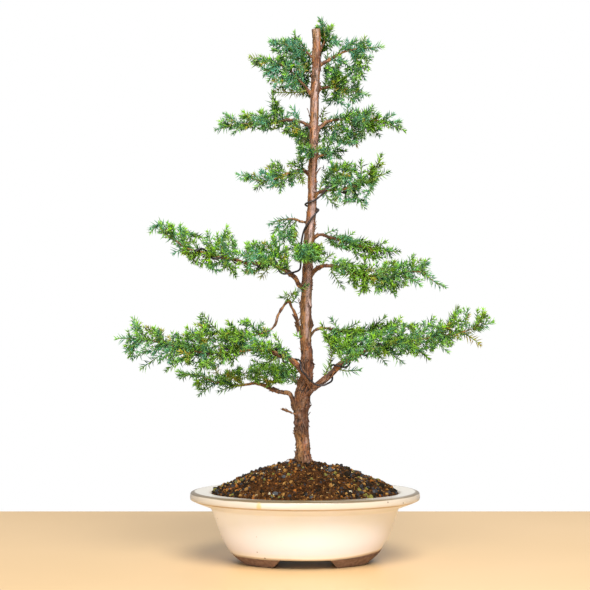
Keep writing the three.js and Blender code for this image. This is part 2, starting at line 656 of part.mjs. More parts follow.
// The skin of one spray. A shoot is a slim three-sided core, and its whorls are bands whose faces are
// drawn out into needles. Each whorl is a sixth of a turn on from the last, and a side shoot grows out
// of a whorl's face.
class Skin {
  constructor(owner) {
    Object.assign(this, { owner, vertices: [], triangles: [] });
  }

  // Places for the whorls: at the side shoots' roots, between them where there is room, and at the tip
  static places(length, sides, step) {
    const places = [];
    for (const side of [...sides].sort((a, b) => a.share - b.share)) {
      const at = side.share * length;
      const last = places.at(-1);
      if (last && at - last.at < 1) last.sides.push(side);
      else places.push({ at, sides: [side] });
    }
    const stops = [{ at: 0, sides: [] }, ...places, { at: length - 2.6, sides: [] }];
    return stops.slice(1).flatMap((stop, k) => {
      const run = stop.at - stops[k].at;
      const extra = Math.max(0, Math.round(run / step) - 1);
      const between = Array.from({ length: extra }, (_, n) => {
        return { at: stops[k].at + (run * (n + 1)) / (extra + 1), sides: [] };
      });
      return [...between, stop];
    });
  }

  grow({ curve, radiusAt, sides, step, self }, base) {
    const { vertices, triangles } = this;
    const length = curve.getLength();
    const places = Skin.places(length, sides, step);
    const { tangents, normals, binormals } = curve.computeFrenetFrames(60, false);
    const frameAt = (share) => {
      const k = Math.round(share * 60);
      return { at: curve.getPointAt(share), along: tangents[k], normal: normals[k], side: binormals[k] };
    };
    let phase = 0;
    if (base) {
      const spoke = vertices[base[0]].clone().sub(curve.getPointAt(0));
      phase = Math.atan2(spoke.dot(binormals[0]), spoke.dot(normals[0]));
    }
    const ring = (share) =>
      [0, 1, 2].map((i) => {
        const corner = around(frameAt(share), radiusAt(share), phase + (2 * Math.PI * i) / 3);
        return vertices.push(corner) - 1;
      });
    let low = base ?? ring(0);
    if (!base) triangles.push([low[0], low[2], low[1]]);
    for (const { at, sides: grown } of places) {
      const share = (at - whorlBase / 2) / length;
      const foot = ring(share);
      for (const [i, j] of sidesOfThree) {
        triangles.push([low[i], low[j], foot[j]], [low[i], foot[j], foot[i]]);
      }
      const footPhase = phase;
      phase += Math.PI / 3;
      const head = ring((at + whorlBase / 2) / length);
      const frame = frameAt(share);
      const faces = sidesOfThree.flatMap(([i, j]) => {
        const out = (sixths) => turned(frame, footPhase + (sixths * Math.PI) / 3);
        return [
          { face: [foot[i], foot[j], head[i]], out: out(2 * i + 1), upper: true },
          { face: [head[i], foot[j], head[j]], out: out(2 * i + 2), upper: false },
        ];
      });
      for (const side of grown) {
        const away = side.target.clone().sub(frame.at).normalize();
        faces.sort((a, b) => b.out.dot(away) - a.out.dot(away));
        const { face, out } = faces.shift();
        const root = middleOf(face.map((n) => vertices[n]));
        const heading = away.lerp(out, 0.45).normalize();
        side.start = { base: face, curve: arc(root, heading, side.bend, side.target) };
      }
      for (const { face, out, upper } of faces) {
        const wanted = upper || at > length - 3; // the tip's whorl is double
        const root = middleOf(face.map((n) => vertices[n]));
        const apex = wanted && needleTip(root, frame.along, out, at / length, this.owner, self);
        if (apex) {
          const n = vertices.push(apex) - 1;
          triangles.push([face[0], face[1], n], [face[1], face[2], n], [face[2], face[0], n]);
        } else {
          triangles.push(face);
        }
      }
      low = head;
    }
    const end = vertices.push(curve.getPointAt(1)) - 1;
    for (const [i, j] of sidesOfThree) triangles.push([low[i], low[j], end]);
    for (const side of sides) this.grow({ ...side, curve: side.start.curve }, side.start.base);
    return this;
  }
}

// Where a needle that grows from root ends, or nothing where it would meet something
function needleTip(root, along, out, share, owner, self) {
  const full = needleLength * (1.06 - 0.35 * share * share) * (0.92 + 0.16 * draw());
  const lean = needleLean * (1.08 - 0.4 * share) + 0.16 * (draw() - 0.5);
  for (const size of [1, 0.72]) {
    const reach = along.clone().multiplyScalar(Math.cos(lean)).addScaledVector(out, Math.sin(lean));
    const apex = root.clone().addScaledVector(reach, full * size);
    const from = root.clone().lerp(apex, 0.2);
    const others = (rod) => rod.owner !== owner;
    const own = (rod) => rod.owner === owner && rod.self !== self;
    if (room(from, apex, 0.4, others) > 0.35 && room(from, apex, 0.3, own) > 0.15) {
      rods.push({ owner, self, from, to: apex, radius: 0.35 });
      return apex;
    }
  }
  return null;
}

function growFoliage() {
  const through = (path) => new THREE.CatmullRomCurve3(path, false, "centripetal");
  addRods("wood", through(trunk.route), (share) => along(trunk.radii, share) * 1.1, 60);
  for (const { curve, wood, radiusAt, length } of limbs) {
    const bare = new Stretch(curve, 0, wood);
    addRods("wood", bare, (share) => radiusAt(share * wood) * 1.04, Math.round((wood * length) / 8));
  }
  for (const [name, path] of Object.entries(wirePaths)) {
    addRods(name, through(path), () => wireRadius, path.length * 2);
  }

  const sprays = new Map();
  const place = (owner, line, radiusAt, step) => {
    const shoot = { ...line, radiusAt, step, sides: [], self: `${owner}/${rods.length}` };
    const before = rods.length;
    addRods(owner, line.curve, radiusAt, Math.max(3, Math.round(line.curve.getLength() / 6)));
    for (const rod of rods.slice(before)) rod.self = shoot.self;
    if (sprays.has(owner)) sprays.get(owner).sides.push(shoot);
    else sprays.set(owner, shoot);
  };
  // Each limb's leafy stem runs on from the end of its wood
  for (const limb of limbs) {
    const owner = `leafy_${limb.name}`;
    const start = limb.curve.getPointAt(limb.wood).addScaledVector(limb.curve.getTangentAt(limb.wood), gap);
    const rest = new Stretch(limb.curve, limb.wood, 1);
    const onward = [0.2, 0.4, 0.6, 0.8, 1].map((share) => rest.getPoint(share));
    const curve = through([start, ...onward, v3(...limb.tip)]);
    const first = Math.min(1.5, limb.radiusAt(limb.wood));
    const radiusAt = (share) => first + (0.55 - first) * share;
    limb.stem = { owner, curve, radiusAt, length: curve.getLength(), taken: [] };
    place(owner, { curve }, radiusAt, stemStep);
  }
  for (const limb of limbs) {
    const branch = { ...limb, owner: "wood", taken: [] };
    limb.near.forEach((tip, i) => {
      const owner = `spray_${limb.name}_${i + 1}`;
      place(owner, sideLine(branch, tip, owner, 0.16, limb.wood - 0.05, true), shootRadius, whorlStep);
    });
    for (const tip of limb.far) {
      const { owner } = limb.stem;
      place(owner, sideLine(limb.stem, tip, owner, 0.05, 0.85, false), shootRadius, whorlStep);
    }
  }
  return [...sprays].map(([owner, shoot]) => {
    const { vertices, triangles } = new Skin(owner).grow(shoot);
    return [owner, solid(vertices, triangles)];
  });
}

// Materials

const finish = (color, roughness, metalness = 0) =>
  new THREE.MeshStandardMaterial({ color, roughness, metalness });
const materials = {
  glaze: finish("#efe3cb", 0.25),
  soil: finish("#3a2a20", 0.95),
  bark: finish("#8a5a44", 0.85),
  foliage: finish("#4f8a3c", 0.6),
  wire: finish("#2b2a2e", 0.4, 0.7),
  screen: finish("#20221f", 0.6),
};

const bonsai = new THREE.Group();
bonsai.add(
  mesh("pot", makePot(), materials.glaze),
  mesh("drain_screen_left", makeScreen(-drainX), materials.screen),
  mesh("drain_screen_right", makeScreen(drainX), materials.screen),
  mesh("soil", makeSoil(), materials.soil),
  mesh("wood", bark.solid, materials.bark),
);
for (const [name, path] of Object.entries(wirePaths)) {
  bonsai.add(mesh(name, makeWire(path), materials.wire));
}
for (const [name, made] of growFoliage()) bonsai.add(mesh(name, made, materials.foliage));

export default bonsai;
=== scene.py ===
import math
import random

import bmesh
import bpy
import numpy as np
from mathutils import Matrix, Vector, noise


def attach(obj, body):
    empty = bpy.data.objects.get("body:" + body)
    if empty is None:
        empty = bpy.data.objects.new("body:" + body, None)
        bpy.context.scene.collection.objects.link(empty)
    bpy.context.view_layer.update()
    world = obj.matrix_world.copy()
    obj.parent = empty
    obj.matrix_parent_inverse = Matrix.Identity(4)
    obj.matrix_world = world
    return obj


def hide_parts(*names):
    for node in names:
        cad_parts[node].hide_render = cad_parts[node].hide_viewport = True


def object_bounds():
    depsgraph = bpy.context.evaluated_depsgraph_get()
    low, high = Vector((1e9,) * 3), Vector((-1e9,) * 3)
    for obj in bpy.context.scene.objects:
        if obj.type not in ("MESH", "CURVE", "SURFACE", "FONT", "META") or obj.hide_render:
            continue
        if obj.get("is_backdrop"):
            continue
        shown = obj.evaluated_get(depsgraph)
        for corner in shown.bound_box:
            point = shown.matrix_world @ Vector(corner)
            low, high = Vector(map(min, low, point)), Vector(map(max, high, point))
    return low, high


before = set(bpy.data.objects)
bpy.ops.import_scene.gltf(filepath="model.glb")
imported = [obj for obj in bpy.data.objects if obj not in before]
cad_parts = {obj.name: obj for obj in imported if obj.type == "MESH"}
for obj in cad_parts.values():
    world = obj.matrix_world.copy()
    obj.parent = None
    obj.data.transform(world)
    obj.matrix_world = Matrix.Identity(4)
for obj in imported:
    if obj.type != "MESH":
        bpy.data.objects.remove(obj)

# A juniper bonsai in its oval pot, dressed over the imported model. Routes are in millimetres,
# in the model's own frame, and turned to metres where a mesh is made.
mm = 0.001
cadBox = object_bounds()
scene = bpy.context.scene


# Lines that limbs, shoots and wires follow


def smoothRoute(route, perSpan=12):
    # points along a smooth curve that passes through the route
    p = np.array(route, float)
    p = np.vstack([2 * p[0] - p[1], p, 2 * p[-1] - p[-2]])
    t = np.linspace(0, 1, perSpan, endpoint=False)[:, None]
    rows = []
    for a, b, c, d in zip(p, p[1:], p[2:], p[3:]):
        g0, g1, g2 = (math.sqrt(np.linalg.norm(v)) for v in (b - a, c - b, d - c))
        leave = ((b - a) / g0 - (c - a) / (g0 + g1) + (c - b) / g1) * g1
        arrive = ((c - b) / g1 - (d - b) / (g1 + g2) + (d - c) / g2) * g1
        bend, twist = 3 * (c - b) - 2 * leave - arrive, 2 * (b - c) + leave + arrive
        rows.append(b + leave * t + bend * t**2 + twist * t**3)
    return np.vstack([*rows, p[-2]])


def arcRoute(root, heading, bend, tip, steps=16):
    # a cubic arc that leaves the root along its heading
    t = np.linspace(0, 1, steps)[:, None]
    near = root + 2.5 * heading
    s = 1 - t
    return s**3 * root + 3 * s * s * t * near + 3 * s * t * t * bend + t**3 * tip


def unit(v):
    return v / max(1e-9, np.linalg.norm(v))


class Line:
    # a run of points, read by the share of its length

    def __init__(self, points):
        self.points = np.asarray(points, float)
        steps = np.linalg.norm(np.diff(self.points, axis=0), axis=1)
        self.run = np.concatenate([[0.0], np.cumsum(steps)])
        self.length = float(self.run[-1])

    def at(self, share):
        goal = np.clip(share, 0, 1) * self.length
        return np.stack([np.interp(goal, self.run, self.points[:, k]) for k in range(3)], -1)

    def heading(self, share):
        step = 1.0 / self.length
        return unit(self.at(min(1, share + step)) - self.at(max(0, share - step)))

    def part(self, start, end, step):
        count = max(2, math.ceil((end - start) * self.length / step) + 1)
        return self.at(np.linspace(start, end, count))


def ringFrames(points):
    # directions across a line that don't twist about it
    ways = np.gradient(points, axis=0)
    ways /= np.linalg.norm(ways, axis=1)[:, None]
    across = np.cross(ways[0], (0, 1, 0) if abs(ways[0][1]) < 0.9 else (1, 0, 0))
    sides = []
    for way in ways:
        across = unit(across - way * across.dot(way))
        sides.append((across, np.cross(way, across)))
    return sides


limbPlan = {
    "left_low": dict(
        radii=(3.4, 1.3), wood=0.56, tip=(-146, 38, 203),
        route=[
            (-4, 1, 164), (-12, 4, 170), (-14, 7, 179), (-18, 10, 184.5), (-27, 14, 186), (-36, 17, 189),
            (-54, 24, 195), (-72, 30, 192.5), (-86, 34, 193.5), (-100, 37, 196), (-112, 39, 200),
            (-121, 41, 204),
        ],
        near=[(-62, 4, 214, 0.355)],
        far=[
            (-98, 16, 186, 0.156), (-121, 32, 180, 0.417), (-86, -2, 210, 0.052), (-108, 66, 219, 0.313),
            (-127, 73, 192, 0.469),
        ],
    ),
    "back_low": dict(
        radii=(2.6, 1.2), wood=0.5, tip=(-44, 92, 203),
        route=[(-4, 2, 187), (-7, 12, 194), (-12, 26, 199), (-18, 42, 203), (-26, 58, 205), (-34, 72, 206)],
        near=[(-30, 16, 214, 0.169)],
        far=[
            (-8, 54, 195, 0.072), (-22, 64, 217, 0.289), (-50, 52, 213, 0.144), (-62, 72, 220, 0.506),
            (-14, 84, 206, 0.361),
        ],
    ),
    "left_main": dict(
        radii=(3.9, 1.3), wood=0.42, tip=(-208, -32, 247),
        route=[
            (7, -3, 191), (3, -9, 201), (-3, -12.5, 209), (-10, -14, 218.5), (-19, -16, 224.5),
            (-30, -19, 229), (-41, -22, 233.5), (-55, -25, 234.5), (-72, -27, 233.5), (-88, -28, 231),
            (-105, -29, 231), (-127, -30, 234.5), (-149, -31, 240), (-171, -32, 245.5),
        ],
        near=[(-35, -20, 253, 0.266), (-50, -30, 217, 0.288), (-56, -58, 242, 0.332)],
        far=[
            (-81, -17, 215, 0.117), (-93, -3, 257, 0.058), (-114, -30, 275, 0.087), (-129, -52, 261, 0.291),
            (-112, -61, 216, 0.204), (-165, -49, 260, 0.612), (-190, -21, 271, 0.758),
            (-195, -52, 232, 0.787), (-181, -24, 212, 0.554), (-152, -46, 211, 0.408),
            (-138, 15, 238, 0.262),
        ],
    ),
    "left_arch": dict(
        radii=(2.4, 1.2), wood=0.8, tip=(-88, 8, 251),
        route=[
            (-1, 0, 245), (-5.5, 3, 254), (-8.3, 5, 264), (-11.5, 7, 273.5), (-15.5, 8, 282),
            (-18.4, 9, 288.5), (-22.5, 9, 284), (-27, 9, 277), (-30.5, 8.5, 269.5), (-33, 8, 261),
            (-39.5, 7, 254), (-46, 6, 251.5), (-56, 5, 250), (-68, 4, 251),
        ],
        near=[(-8, 16, 299, 0.372)],
        far=[(-88, 4, 267, 0.622), (-64, -10, 268, 0.104), (-46, 20, 264, 0.207), (-76, 29, 241, 0.311)],
    ),
    "left_mid": dict(
        radii=(3.2, 1.2), wood=0.5, tip=(-170, -27, 360),
        route=[
            (1, -1, 299), (-6.5, -3, 305), (-9.5, -4, 311.5), (-14.5, -6, 316), (-21, -8, 320.5),
            (-28, -10, 325), (-36, -12, 328), (-50, -15, 328.5), (-64, -17, 329.5), (-77, -19, 333),
            (-92, -21, 334.5), (-107, -23, 340), (-121, -25, 342), (-133, -26, 347), (-146, -26, 359),
            (-157, -26, 372),
        ],
        near=[(-22, -2, 347, 0.17), (-38, -18, 360, 0.219), (-50, -26, 312, 0.291), (-46, -52, 333, 0.194)],
        far=[
            (-74, -32, 312, 0.081), (-84, -25, 371, 0.122), (-107, -38, 365, 0.163),
            (-115, -19, 323, 0.244), (-136, -15, 373, 0.529), (-146, -20, 338, 0.488),
            (-159, -48, 363, 0.611), (-100, 20, 348, 0.204),
        ],
    ),
    "left_mid_back": dict(
        radii=(1.9, 1.3), wood=0.3, tip=(-42, 14, 371), near=[],
        route=[(3, 1, 374), (-5, 8, 375.5), (-10, 11, 378), (-24, 13, 378), (-32, 14, 376)],
        far=[(-28, 22, 355, 0.233), (-12, 20, 353, 0.116)],
    ),
    "front_mid": dict(
        radii=(2, 1.3), wood=0.35, tip=(6, -62, 341), near=[],
        route=[(3, -2, 329), (4, -10, 333), (4, -18, 336), (4, -30, 340), (4, -42, 342)],
        far=[(21, -46, 346, 0.38), (19, -38, 329, 0.095), (-11, -42, 334, 0.19), (0, -34, 354, 0.285)],
    ),
    "back_mid": dict(
        radii=(2.2, 1.3), wood=0.35, tip=(2, 82, 344), near=[],
        route=[(3, 2, 335), (4, 12, 338), (3, 22, 340), (1, 38, 343), (0, 54, 344)],
        far=[(-22, 50, 347, 0.216), (25, 50, 342, 0.072), (4, 56, 329, 0.361), (-16, 74, 338, 0.577)],
    ),
    "right_mid_low": dict(
        radii=(2.8, 1.1), wood=0.4, tip=(156, -20, 301),
        route=[
            (3, 0, 308), (9, -2, 318), (13, -4, 323.5), (20, -6, 326), (29, -8, 326), (44, -11, 322.5),
            (63, -14, 316), (83, -17, 314), (105, -19, 318), (121, -20, 320.5), (132, -20, 316),
            (142, -20, 308),
        ],
        near=[(32, -12, 340, 0.173), (44, -10, 300, 0.231), (48, -44, 322, 0.26)],
        far=[
            (64, -31, 336, 0.083), (58, -22, 293, 0.124), (79, -32, 294, 0.166), (101, -15, 291, 0.249),
            (120, -9, 340, 0.497), (136, -28, 335, 0.622), (128, -34, 303, 0.456), (92, 21, 326, 0.207),
        ],
    ),
    "right_mid_high": dict(
        radii=(2.3, 1.1), wood=0.42, tip=(109, 26, 343),
        route=[
            (4, 2, 347), (9, 5, 354), (12, 7, 358.5), (17, 9, 361), (26, 12, 358.5), (39, 16, 355.5),
            (55, 20, 350.5), (72, 23, 346), (91, 25, 343),
        ],
        near=[(37, 10, 367, 0.272), (36, 38, 350, 0.318)],
        far=[(56, 23, 365, 0.06), (92, 12, 355, 0.538), (70, 61, 346, 0.179), (60, 38, 333, 0.239)],
    ),
    "right_low": dict(
        radii=(5, 1.3), wood=0.45, tip=(208, -26, 266),
        route=[
            (-3, -1, 180), (5, -3, 188), (14, -5, 194.5), (22, -7, 201), (29, -9, 208), (36.5, -11, 215.5),
            (44, -13, 221), (58.5, -16, 230), (76, -18, 235.5), (94, -20, 240), (110.5, -21, 243),
            (127, -22, 246), (149, -23, 249.5), (169, -24, 253),
        ],
        near=[
            (16, -22, 265, 0.185, 30), (63, -20, 213, 0.278), (62, -6, 257, 0.347), (62, -56, 236, 0.324),
        ],
        far=[
            (90, -7, 217, 0.061), (108, -31, 219, 0.122), (138, -14, 222, 0.304), (156, -38, 231, 0.487),
            (194, -21, 238, 0.731), (195, -44, 277, 0.822), (169, -13, 283, 0.578), (143, -8, 272, 0.396),
            (106, -14, 272, 0.152), (122, -75, 246, 0.183), (126, 28, 248, 0.091),
        ],
    ),
    "right_low_back": dict(
        radii=(1.9, 1.1), wood=0.42, tip=(112, 34, 262), near=[],
        route=[
            (3, 2, 245), (9, 5, 253), (14.5, 8, 256.5), (25, 12, 257), (39, 17, 254), (58, 23, 253),
            (80, 28, 254.5),
        ],
        far=[
            (28, 26, 270, 0.054), (62, 16, 265, 0.108), (92, 18, 272, 0.485), (66, 54, 250, 0.27),
            (48, 34, 236, 0.162),
        ],
    ),
    "left_upper": dict(
        radii=(1.9, 1.1), wood=0.45, tip=(-78, -10, 428),
        route=[(7, 0, 423), (1, -2, 430), (-7, -4, 432), (-19, -6, 428), (-33, -8, 422), (-47, -9, 419.5)],
        near=[(-6, 8, 448, 0.223), (-2, -32, 414, 0.297)],
        far=[(-38, 3, 444, 0.069), (-28, -16, 404, 0.138), (-56, -30, 408, 0.414), (-36, 31, 430, 0.207)],
    ),
    "right_upper": dict(
        radii=(2.5, 1.3), wood=0.5, tip=(95, -10, 431),
        route=[
            (8, -1, 399), (14, -4, 406.5), (25, -6, 409.5), (44, -9, 410.5), (62, -10, 416),
            (80, -11, 423.5),
        ],
        near=[(34, -2, 437, 0.17), (37, -14, 389, 0.226)],
        far=[
            (67, -16, 387, 0.08), (62, -1, 445, 0.32), (84, -18, 450, 0.56), (62, -52, 420, 0.24),
            (58, 35, 414, 0.16),
        ],
    ),
    "right_upper_back": dict(
        radii=(1.9, 1.2), wood=0.4, tip=(48, 14, 455), near=[],
        route=[(8, 1, 440), (15, 6, 447), (22, 9, 450), (34, 12, 453)],
        far=[(30, 4, 465, 0.135), (30, 30, 440, 0.271)],
    ),
    "front_upper": dict(
        radii=(1.6, 1.2), wood=0.4, tip=(2, -32, 446), near=[],
        route=[(9, -1, 446), (8, -8, 448), (6, -16, 450)],
        far=[(18, -20, 457, 0.172)],
    ),
    "left_high": dict(
        radii=(2.1, 1.1), wood=0.5, tip=(-101, -9, 475),
        route=[
            (10, 0, 473), (4, -2, 480.5), (-5, -4, 485.5), (-19, -5, 486.5), (-33, -6, 484), (-50, -8, 482),
            (-68, -9, 482),
        ],
        near=[(-17, -2, 503, 0.268), (-26, -16, 470, 0.321)],
        far=[
            (-91, -19, 494, 0.596), (-70, 1, 498, 0.358), (-36, -9, 520, 0.06), (-80, -22, 469, 0.536),
            (-52, -47, 484, 0.119), (-46, 34, 486, 0.179),
        ],
    ),
    "back_high": dict(
        radii=(1.8, 1.2), wood=0.4, tip=(0, 60, 474), near=[],
        route=[(9, 2, 465), (5, 12, 470), (2, 22, 472), (0, 36, 473)],
        far=[(-16, 34, 479, 0.197), (-4, 32, 456, 0.098), (18, 46, 468, 0.295)],
    ),
    "right_high": dict(
        radii=(2.2, 1.1), wood=0.45, tip=(113, -4, 474),
        route=[
            (11, 0, 469), (17, 1, 479), (23, 2, 485), (33, 2, 487.5), (47, 1, 488), (63, 0, 486.5),
            (83, -2, 486),
        ],
        near=[(22, 8, 503, 0.222), (32, 4, 463, 0.389)],
        far=[
            (100, -13, 494, 0.587), (76, -16, 502, 0.235), (48, -6, 506, 0.059), (58, 8, 457, 0.117),
            (84, 6, 468, 0.352), (68, -53, 484, 0.176), (72, 42, 486, 0.293),
        ],
    ),
    "crown_left": dict(
        radii=(2, 1.2), wood=0.72, tip=(-64, -6, 556),
        route=[
            (10, 0, 510), (3, -2, 520), (-4, -3, 528.5), (-13, -4, 538), (-21, -5, 545.5), (-34, -6, 550),
        ],
        near=[(-38, -6, 518, 0.22)],
        far=[(-46, -14, 535, 0.189), (-36, 28, 556, 0.095)],
    ),
    "crown_top_left": dict(
        radii=(1.7, 1.1), wood=0.4, tip=(-41, 0, 575), near=[],
        route=[(12, 1, 550), (6, 2, 559), (-1, 2, 564.5), (-12, 2, 568), (-24, 1, 571)],
        far=[(-13, 8, 588, 0.104), (-31, 14, 557, 0.311), (-14, -40, 570, 0.207), (-8, 41, 568, 0.414)],
    ),
    "crown_right": dict(
        radii=(2, 1.2), wood=0.55, tip=(89, -4, 568),
        route=[
            (13, 0, 543), (20, -1, 549.5), (30, -2, 554.5), (39, -3, 560.5), (50, -3, 564), (66, -4, 566),
        ],
        near=[(42, 4, 536, 0.227)],
        far=[(67, -12, 579, 0.363), (47, 7, 578, 0.091), (67, 7, 531, 0.182), (60, 35, 562, 0.272)],
    ),
    "crown_right_low": dict(
        radii=(1.7, 1.1), wood=0.45, tip=(73, 6, 515), near=[],
        route=[(12, 1, 516), (19, 3, 523), (29, 5, 524), (41, 6, 522.5), (54, 6, 520)],
        far=[(44, 17, 537, 0.101), (26, 30, 507, 0.202), (54, -2, 504, 0.303), (34, 48, 530, 0.404)],
    ),
    "leader": dict(
        radii=(1.7, 1.2), wood=0.4, tip=(17, 4, 602), near=[],
        route=[(13, 2, 559), (19, 5, 568), (22, 7, 577), (20, 6, 592)],
        far=[(32, 3, 594, 0.421), (43, 8, 575, 0.14), (38, -20, 567, 0.281), (20, 39, 580, 0.14)],
    ),
}

# How low and how high each limb's green reaches, at places along X
greenPlan = {
    "left_main": [
        (-204, 240, 249), (-193, 224, 254), (-183, 223, 270), (-173, 228, 265), (-163, 228, 260),
        (-153, 214, 256), (-143, 218, 254), (-133, 220, 253), (-120, 212, 260), (-114, 211, 274),
        (-107, 211, 265), (-100, 212, 256), (-83, 219, 259), (-63, 229, 253), (-44, 222, 247),
        (-24, 222, 238), (-12, 214, 228),
    ],
    "left_arch": [(-88, 251, 264), (-63, 250, 268), (-44, 246, 259), (-32, 246, 254)],
    "left_low": [
        (-146, 201, 209), (-133, 190, 214), (-123, 181, 213), (-113, 186, 209), (-98, 190, 206),
        (-83, 191, 212), (-63, 197, 216), (-54, 193, 219), (-34, 194, 217), (-14, 196, 213),
    ],
    "back_low": [(-20, 196, 222)],
    "left_mid": [
        (-173, 362, 369), (-163, 365, 375), (-153, 361, 376), (-143, 348, 372), (-133, 337, 370),
        (-123, 328, 363), (-103, 319, 358), (-93, 317, 364), (-83, 317, 367), (-73, 315, 350),
        (-54, 316, 355), (-34, 325, 354), (-14, 326, 348),
    ],
    "left_mid_back": [(-42, 350, 372), (-24, 350, 375), (-4, 344, 368)],
    "front_mid": [(-16, 331, 350), (4, 328, 347), (24, 331, 349)],
    "back_mid": [(2, 332, 354)],
    "right_mid_low": [
        (26, 322, 340), (36, 316, 337), (46, 311, 333), (56, 296, 330), (76, 297, 330), (95, 295, 333),
        (105, 299, 333), (115, 307, 337), (125, 307, 334), (135, 312, 332), (145, 301, 317),
        (155, 300, 307),
    ],
    "right_mid_high": [
        (22, 340, 360), (36, 346, 365), (56, 340, 358), (66, 332, 358), (86, 332, 350), (107, 338, 347),
    ],
    "right_low": [
        (16, 250, 261), (24, 242, 254), (30, 236, 249), (40, 220, 247), (56, 221, 248), (66, 224, 250),
        (76, 223, 254), (95, 227, 260), (115, 227, 264), (135, 225, 268), (145, 238, 270), (155, 234, 264),
        (165, 241, 281), (185, 252, 279), (195, 256, 280), (207, 261, 272),
    ],
    "right_low_back": [(26, 240, 258), (46, 240, 258), (66, 245, 262), (86, 250, 265), (110, 254, 270)],
    "left_upper": [(-76, 420, 430), (-54, 415, 429), (-34, 409, 442), (-14, 414, 442), (0, 412, 445)],
    "right_upper": [
        (16, 407, 440), (36, 392, 442), (56, 393, 440), (66, 389, 433), (76, 412, 442), (86, 428, 449),
        (95, 428, 434),
    ],
    "right_upper_back": [(14, 443, 462), (46, 443, 460)],
    "front_upper": [(4, 440, 460)],
    "left_high": [
        (-100, 474, 482), (-83, 475, 494), (-63, 474, 494), (-40, 474, 500), (-32, 474, 513),
        (-25, 474, 502), (-14, 467, 494), (-2, 460, 492),
    ],
    "back_high": [(4, 462, 486)],
    "right_high": [
        (16, 455, 492), (46, 457, 497), (56, 459, 502), (66, 465, 502), (76, 473, 498), (95, 475, 493),
        (112, 474, 482),
    ],
    "crown_left": [
        (-64, 552, 559), (-44, 538, 558), (-34, 520, 556), (-24, 518, 560), (6, 512, 566), (14, 520, 560),
    ],
    "crown_top_left": [(-41, 562, 576), (-24, 559, 580), (-14, 554, 585), (0, 550, 576), (12, 552, 568)],
    "crown_right": [
        (14, 538, 566), (32, 532, 562), (42, 530, 566), (50, 530, 576), (66, 528, 578), (76, 556, 573),
        (89, 565, 571),
    ],
    "crown_right_low": [(14, 503, 549), (30, 508, 546), (46, 499, 538), (60, 508, 535), (73, 513, 523)],
    "leader": [(14, 566, 602), (28, 562, 596), (39, 566, 584)],
}


for limb in limbPlan.values():
    limb["line"] = Line(smoothRoute(limb["route"]))


def limbRadius(limb, share):
    thick, thin = limb["radii"]
    return thick + (thin - thick) * np.minimum(1, share) ** 0.7


# Meshes


def addObject(name, data):
    made = bpy.data.objects.new(name, data)
    scene.collection.objects.link(made)
    return made


def pieceFrom(name, vertices, faces, materials, unitSize=mm):
    mesh = bpy.data.meshes.new(name)
    mesh.from_pydata((np.asarray(vertices) * unitSize).tolist(), [], faces)
    for material in materials:
        mesh.materials.append(material)
    return addObject(name, mesh)


def addAttribute(mesh, name, values):
    values = np.asarray(values, dtype=np.float32)
    kind, field = ("FLOAT", "value") if values.ndim == 1 else ("FLOAT_VECTOR", "vector")
    mesh.attributes.new(name, kind, "POINT").data.foreach_set(field, values.ravel())


def readPoints(mesh):
    flat = np.empty(3 * len(mesh.vertices), dtype=np.float32)
    mesh.vertices.foreach_get("co", flat)
    return flat.reshape(-1, 3).astype(float)


def writePoints(mesh, points):
    mesh.vertices.foreach_set("co", np.asarray(points, dtype=np.float32).ravel())
    mesh.update()


def readNormals(mesh):
    flat = np.empty(3 * len(mesh.vertices), dtype=np.float32)
    mesh.vertex_normals.foreach_get("vector", flat)
    return flat.reshape(-1, 3).astype(float)


def settle(helper, name, keep=()):
    # what the helper's modifiers make, as a plain mesh with only the attributes that are kept
    made = bpy.data.meshes.new_from_object(helper.evaluated_get(bpy.context.evaluated_depsgraph_get()))
    made.name = name
    for attribute in [a.name for a in made.attributes if not a.is_internal and not a.is_required]:
        if attribute not in keep and attribute not in ("sharp_face", "sharp_edge", "material_index"):
            made.attributes.remove(made.attributes[attribute])
    bpy.data.objects.remove(helper)
    return addObject(name, made)


def shadeSmooth(mesh, angle=None):
    mesh.polygons.foreach_set("use_smooth", [True] * len(mesh.polygons))
    if angle:
        mesh.set_sharp_from_angle(angle=math.radians(angle))
    mesh.update()


def loft(rings, closed=True):
    # rings with the same number of points, skinned one to the next, with a fan at each end
    sides = len(rings[0])
    vertices = np.vstack([*rings, rings[0].mean(0), rings[-1].mean(0)])
    faces = []
    for k in range(len(rings) - 1):
        for i in range(sides):
            j = (i + 1) % sides
            low, high = k * sides, (k + 1) * sides
            faces.append((low + i, low + j, high + j, high + i))
    first, last = len(vertices) - 2, len(vertices) - 1
    top = (len(rings) - 1) * sides
    for i in range(sides):
        j = (i + 1) % sides
        faces.append((first, j, i))
        faces.append((last, top + i, top + j))
    return vertices, faces


def faceOut(mesh):
    shape = bmesh.new()
    shape.from_mesh(mesh)
    bmesh.ops.recalc_face_normals(shape, faces=shape.faces)
    shape.to_mesh(mesh)
    shape.free()


def mergeParts(parts):
    # several (vertices, faces) as one
    vertices, faces, start = [], [], 0
    for points, sides in parts:
        vertices.append(points)
        faces += [tuple(n + start for n in face) for face in sides]
        start += len(points)
    return np.vstack(vertices), faces


# Node trees, for geometry and for materials


def outOf(value):
    if isinstance(value, bpy.types.Node):
        return next(socket for socket in value.outputs if socket.enabled)
    return value


def feed(socket, value):
    value = outOf(value)
    if isinstance(value, bpy.types.NodeSocket):
        socket.id_data.links.new(value, socket)
    elif value is not None:
        socket.default_value = value


def addNode(tree, kind, *values, settings=None, **named):
    # a node whose shown inputs take the values in order, or by name with _ for a space; settings go first
    node = tree.nodes.new(kind)
    for key, value in (settings or {}).items():
        setattr(node, key, value)
    shown = [socket for socket in node.inputs if socket.enabled]
    for socket, value in zip(shown, values):
        feed(socket, value)
    for key, value in named.items():
        feed(next(s for s in shown if s.name == key.replace("_", " ")), value)
    return node


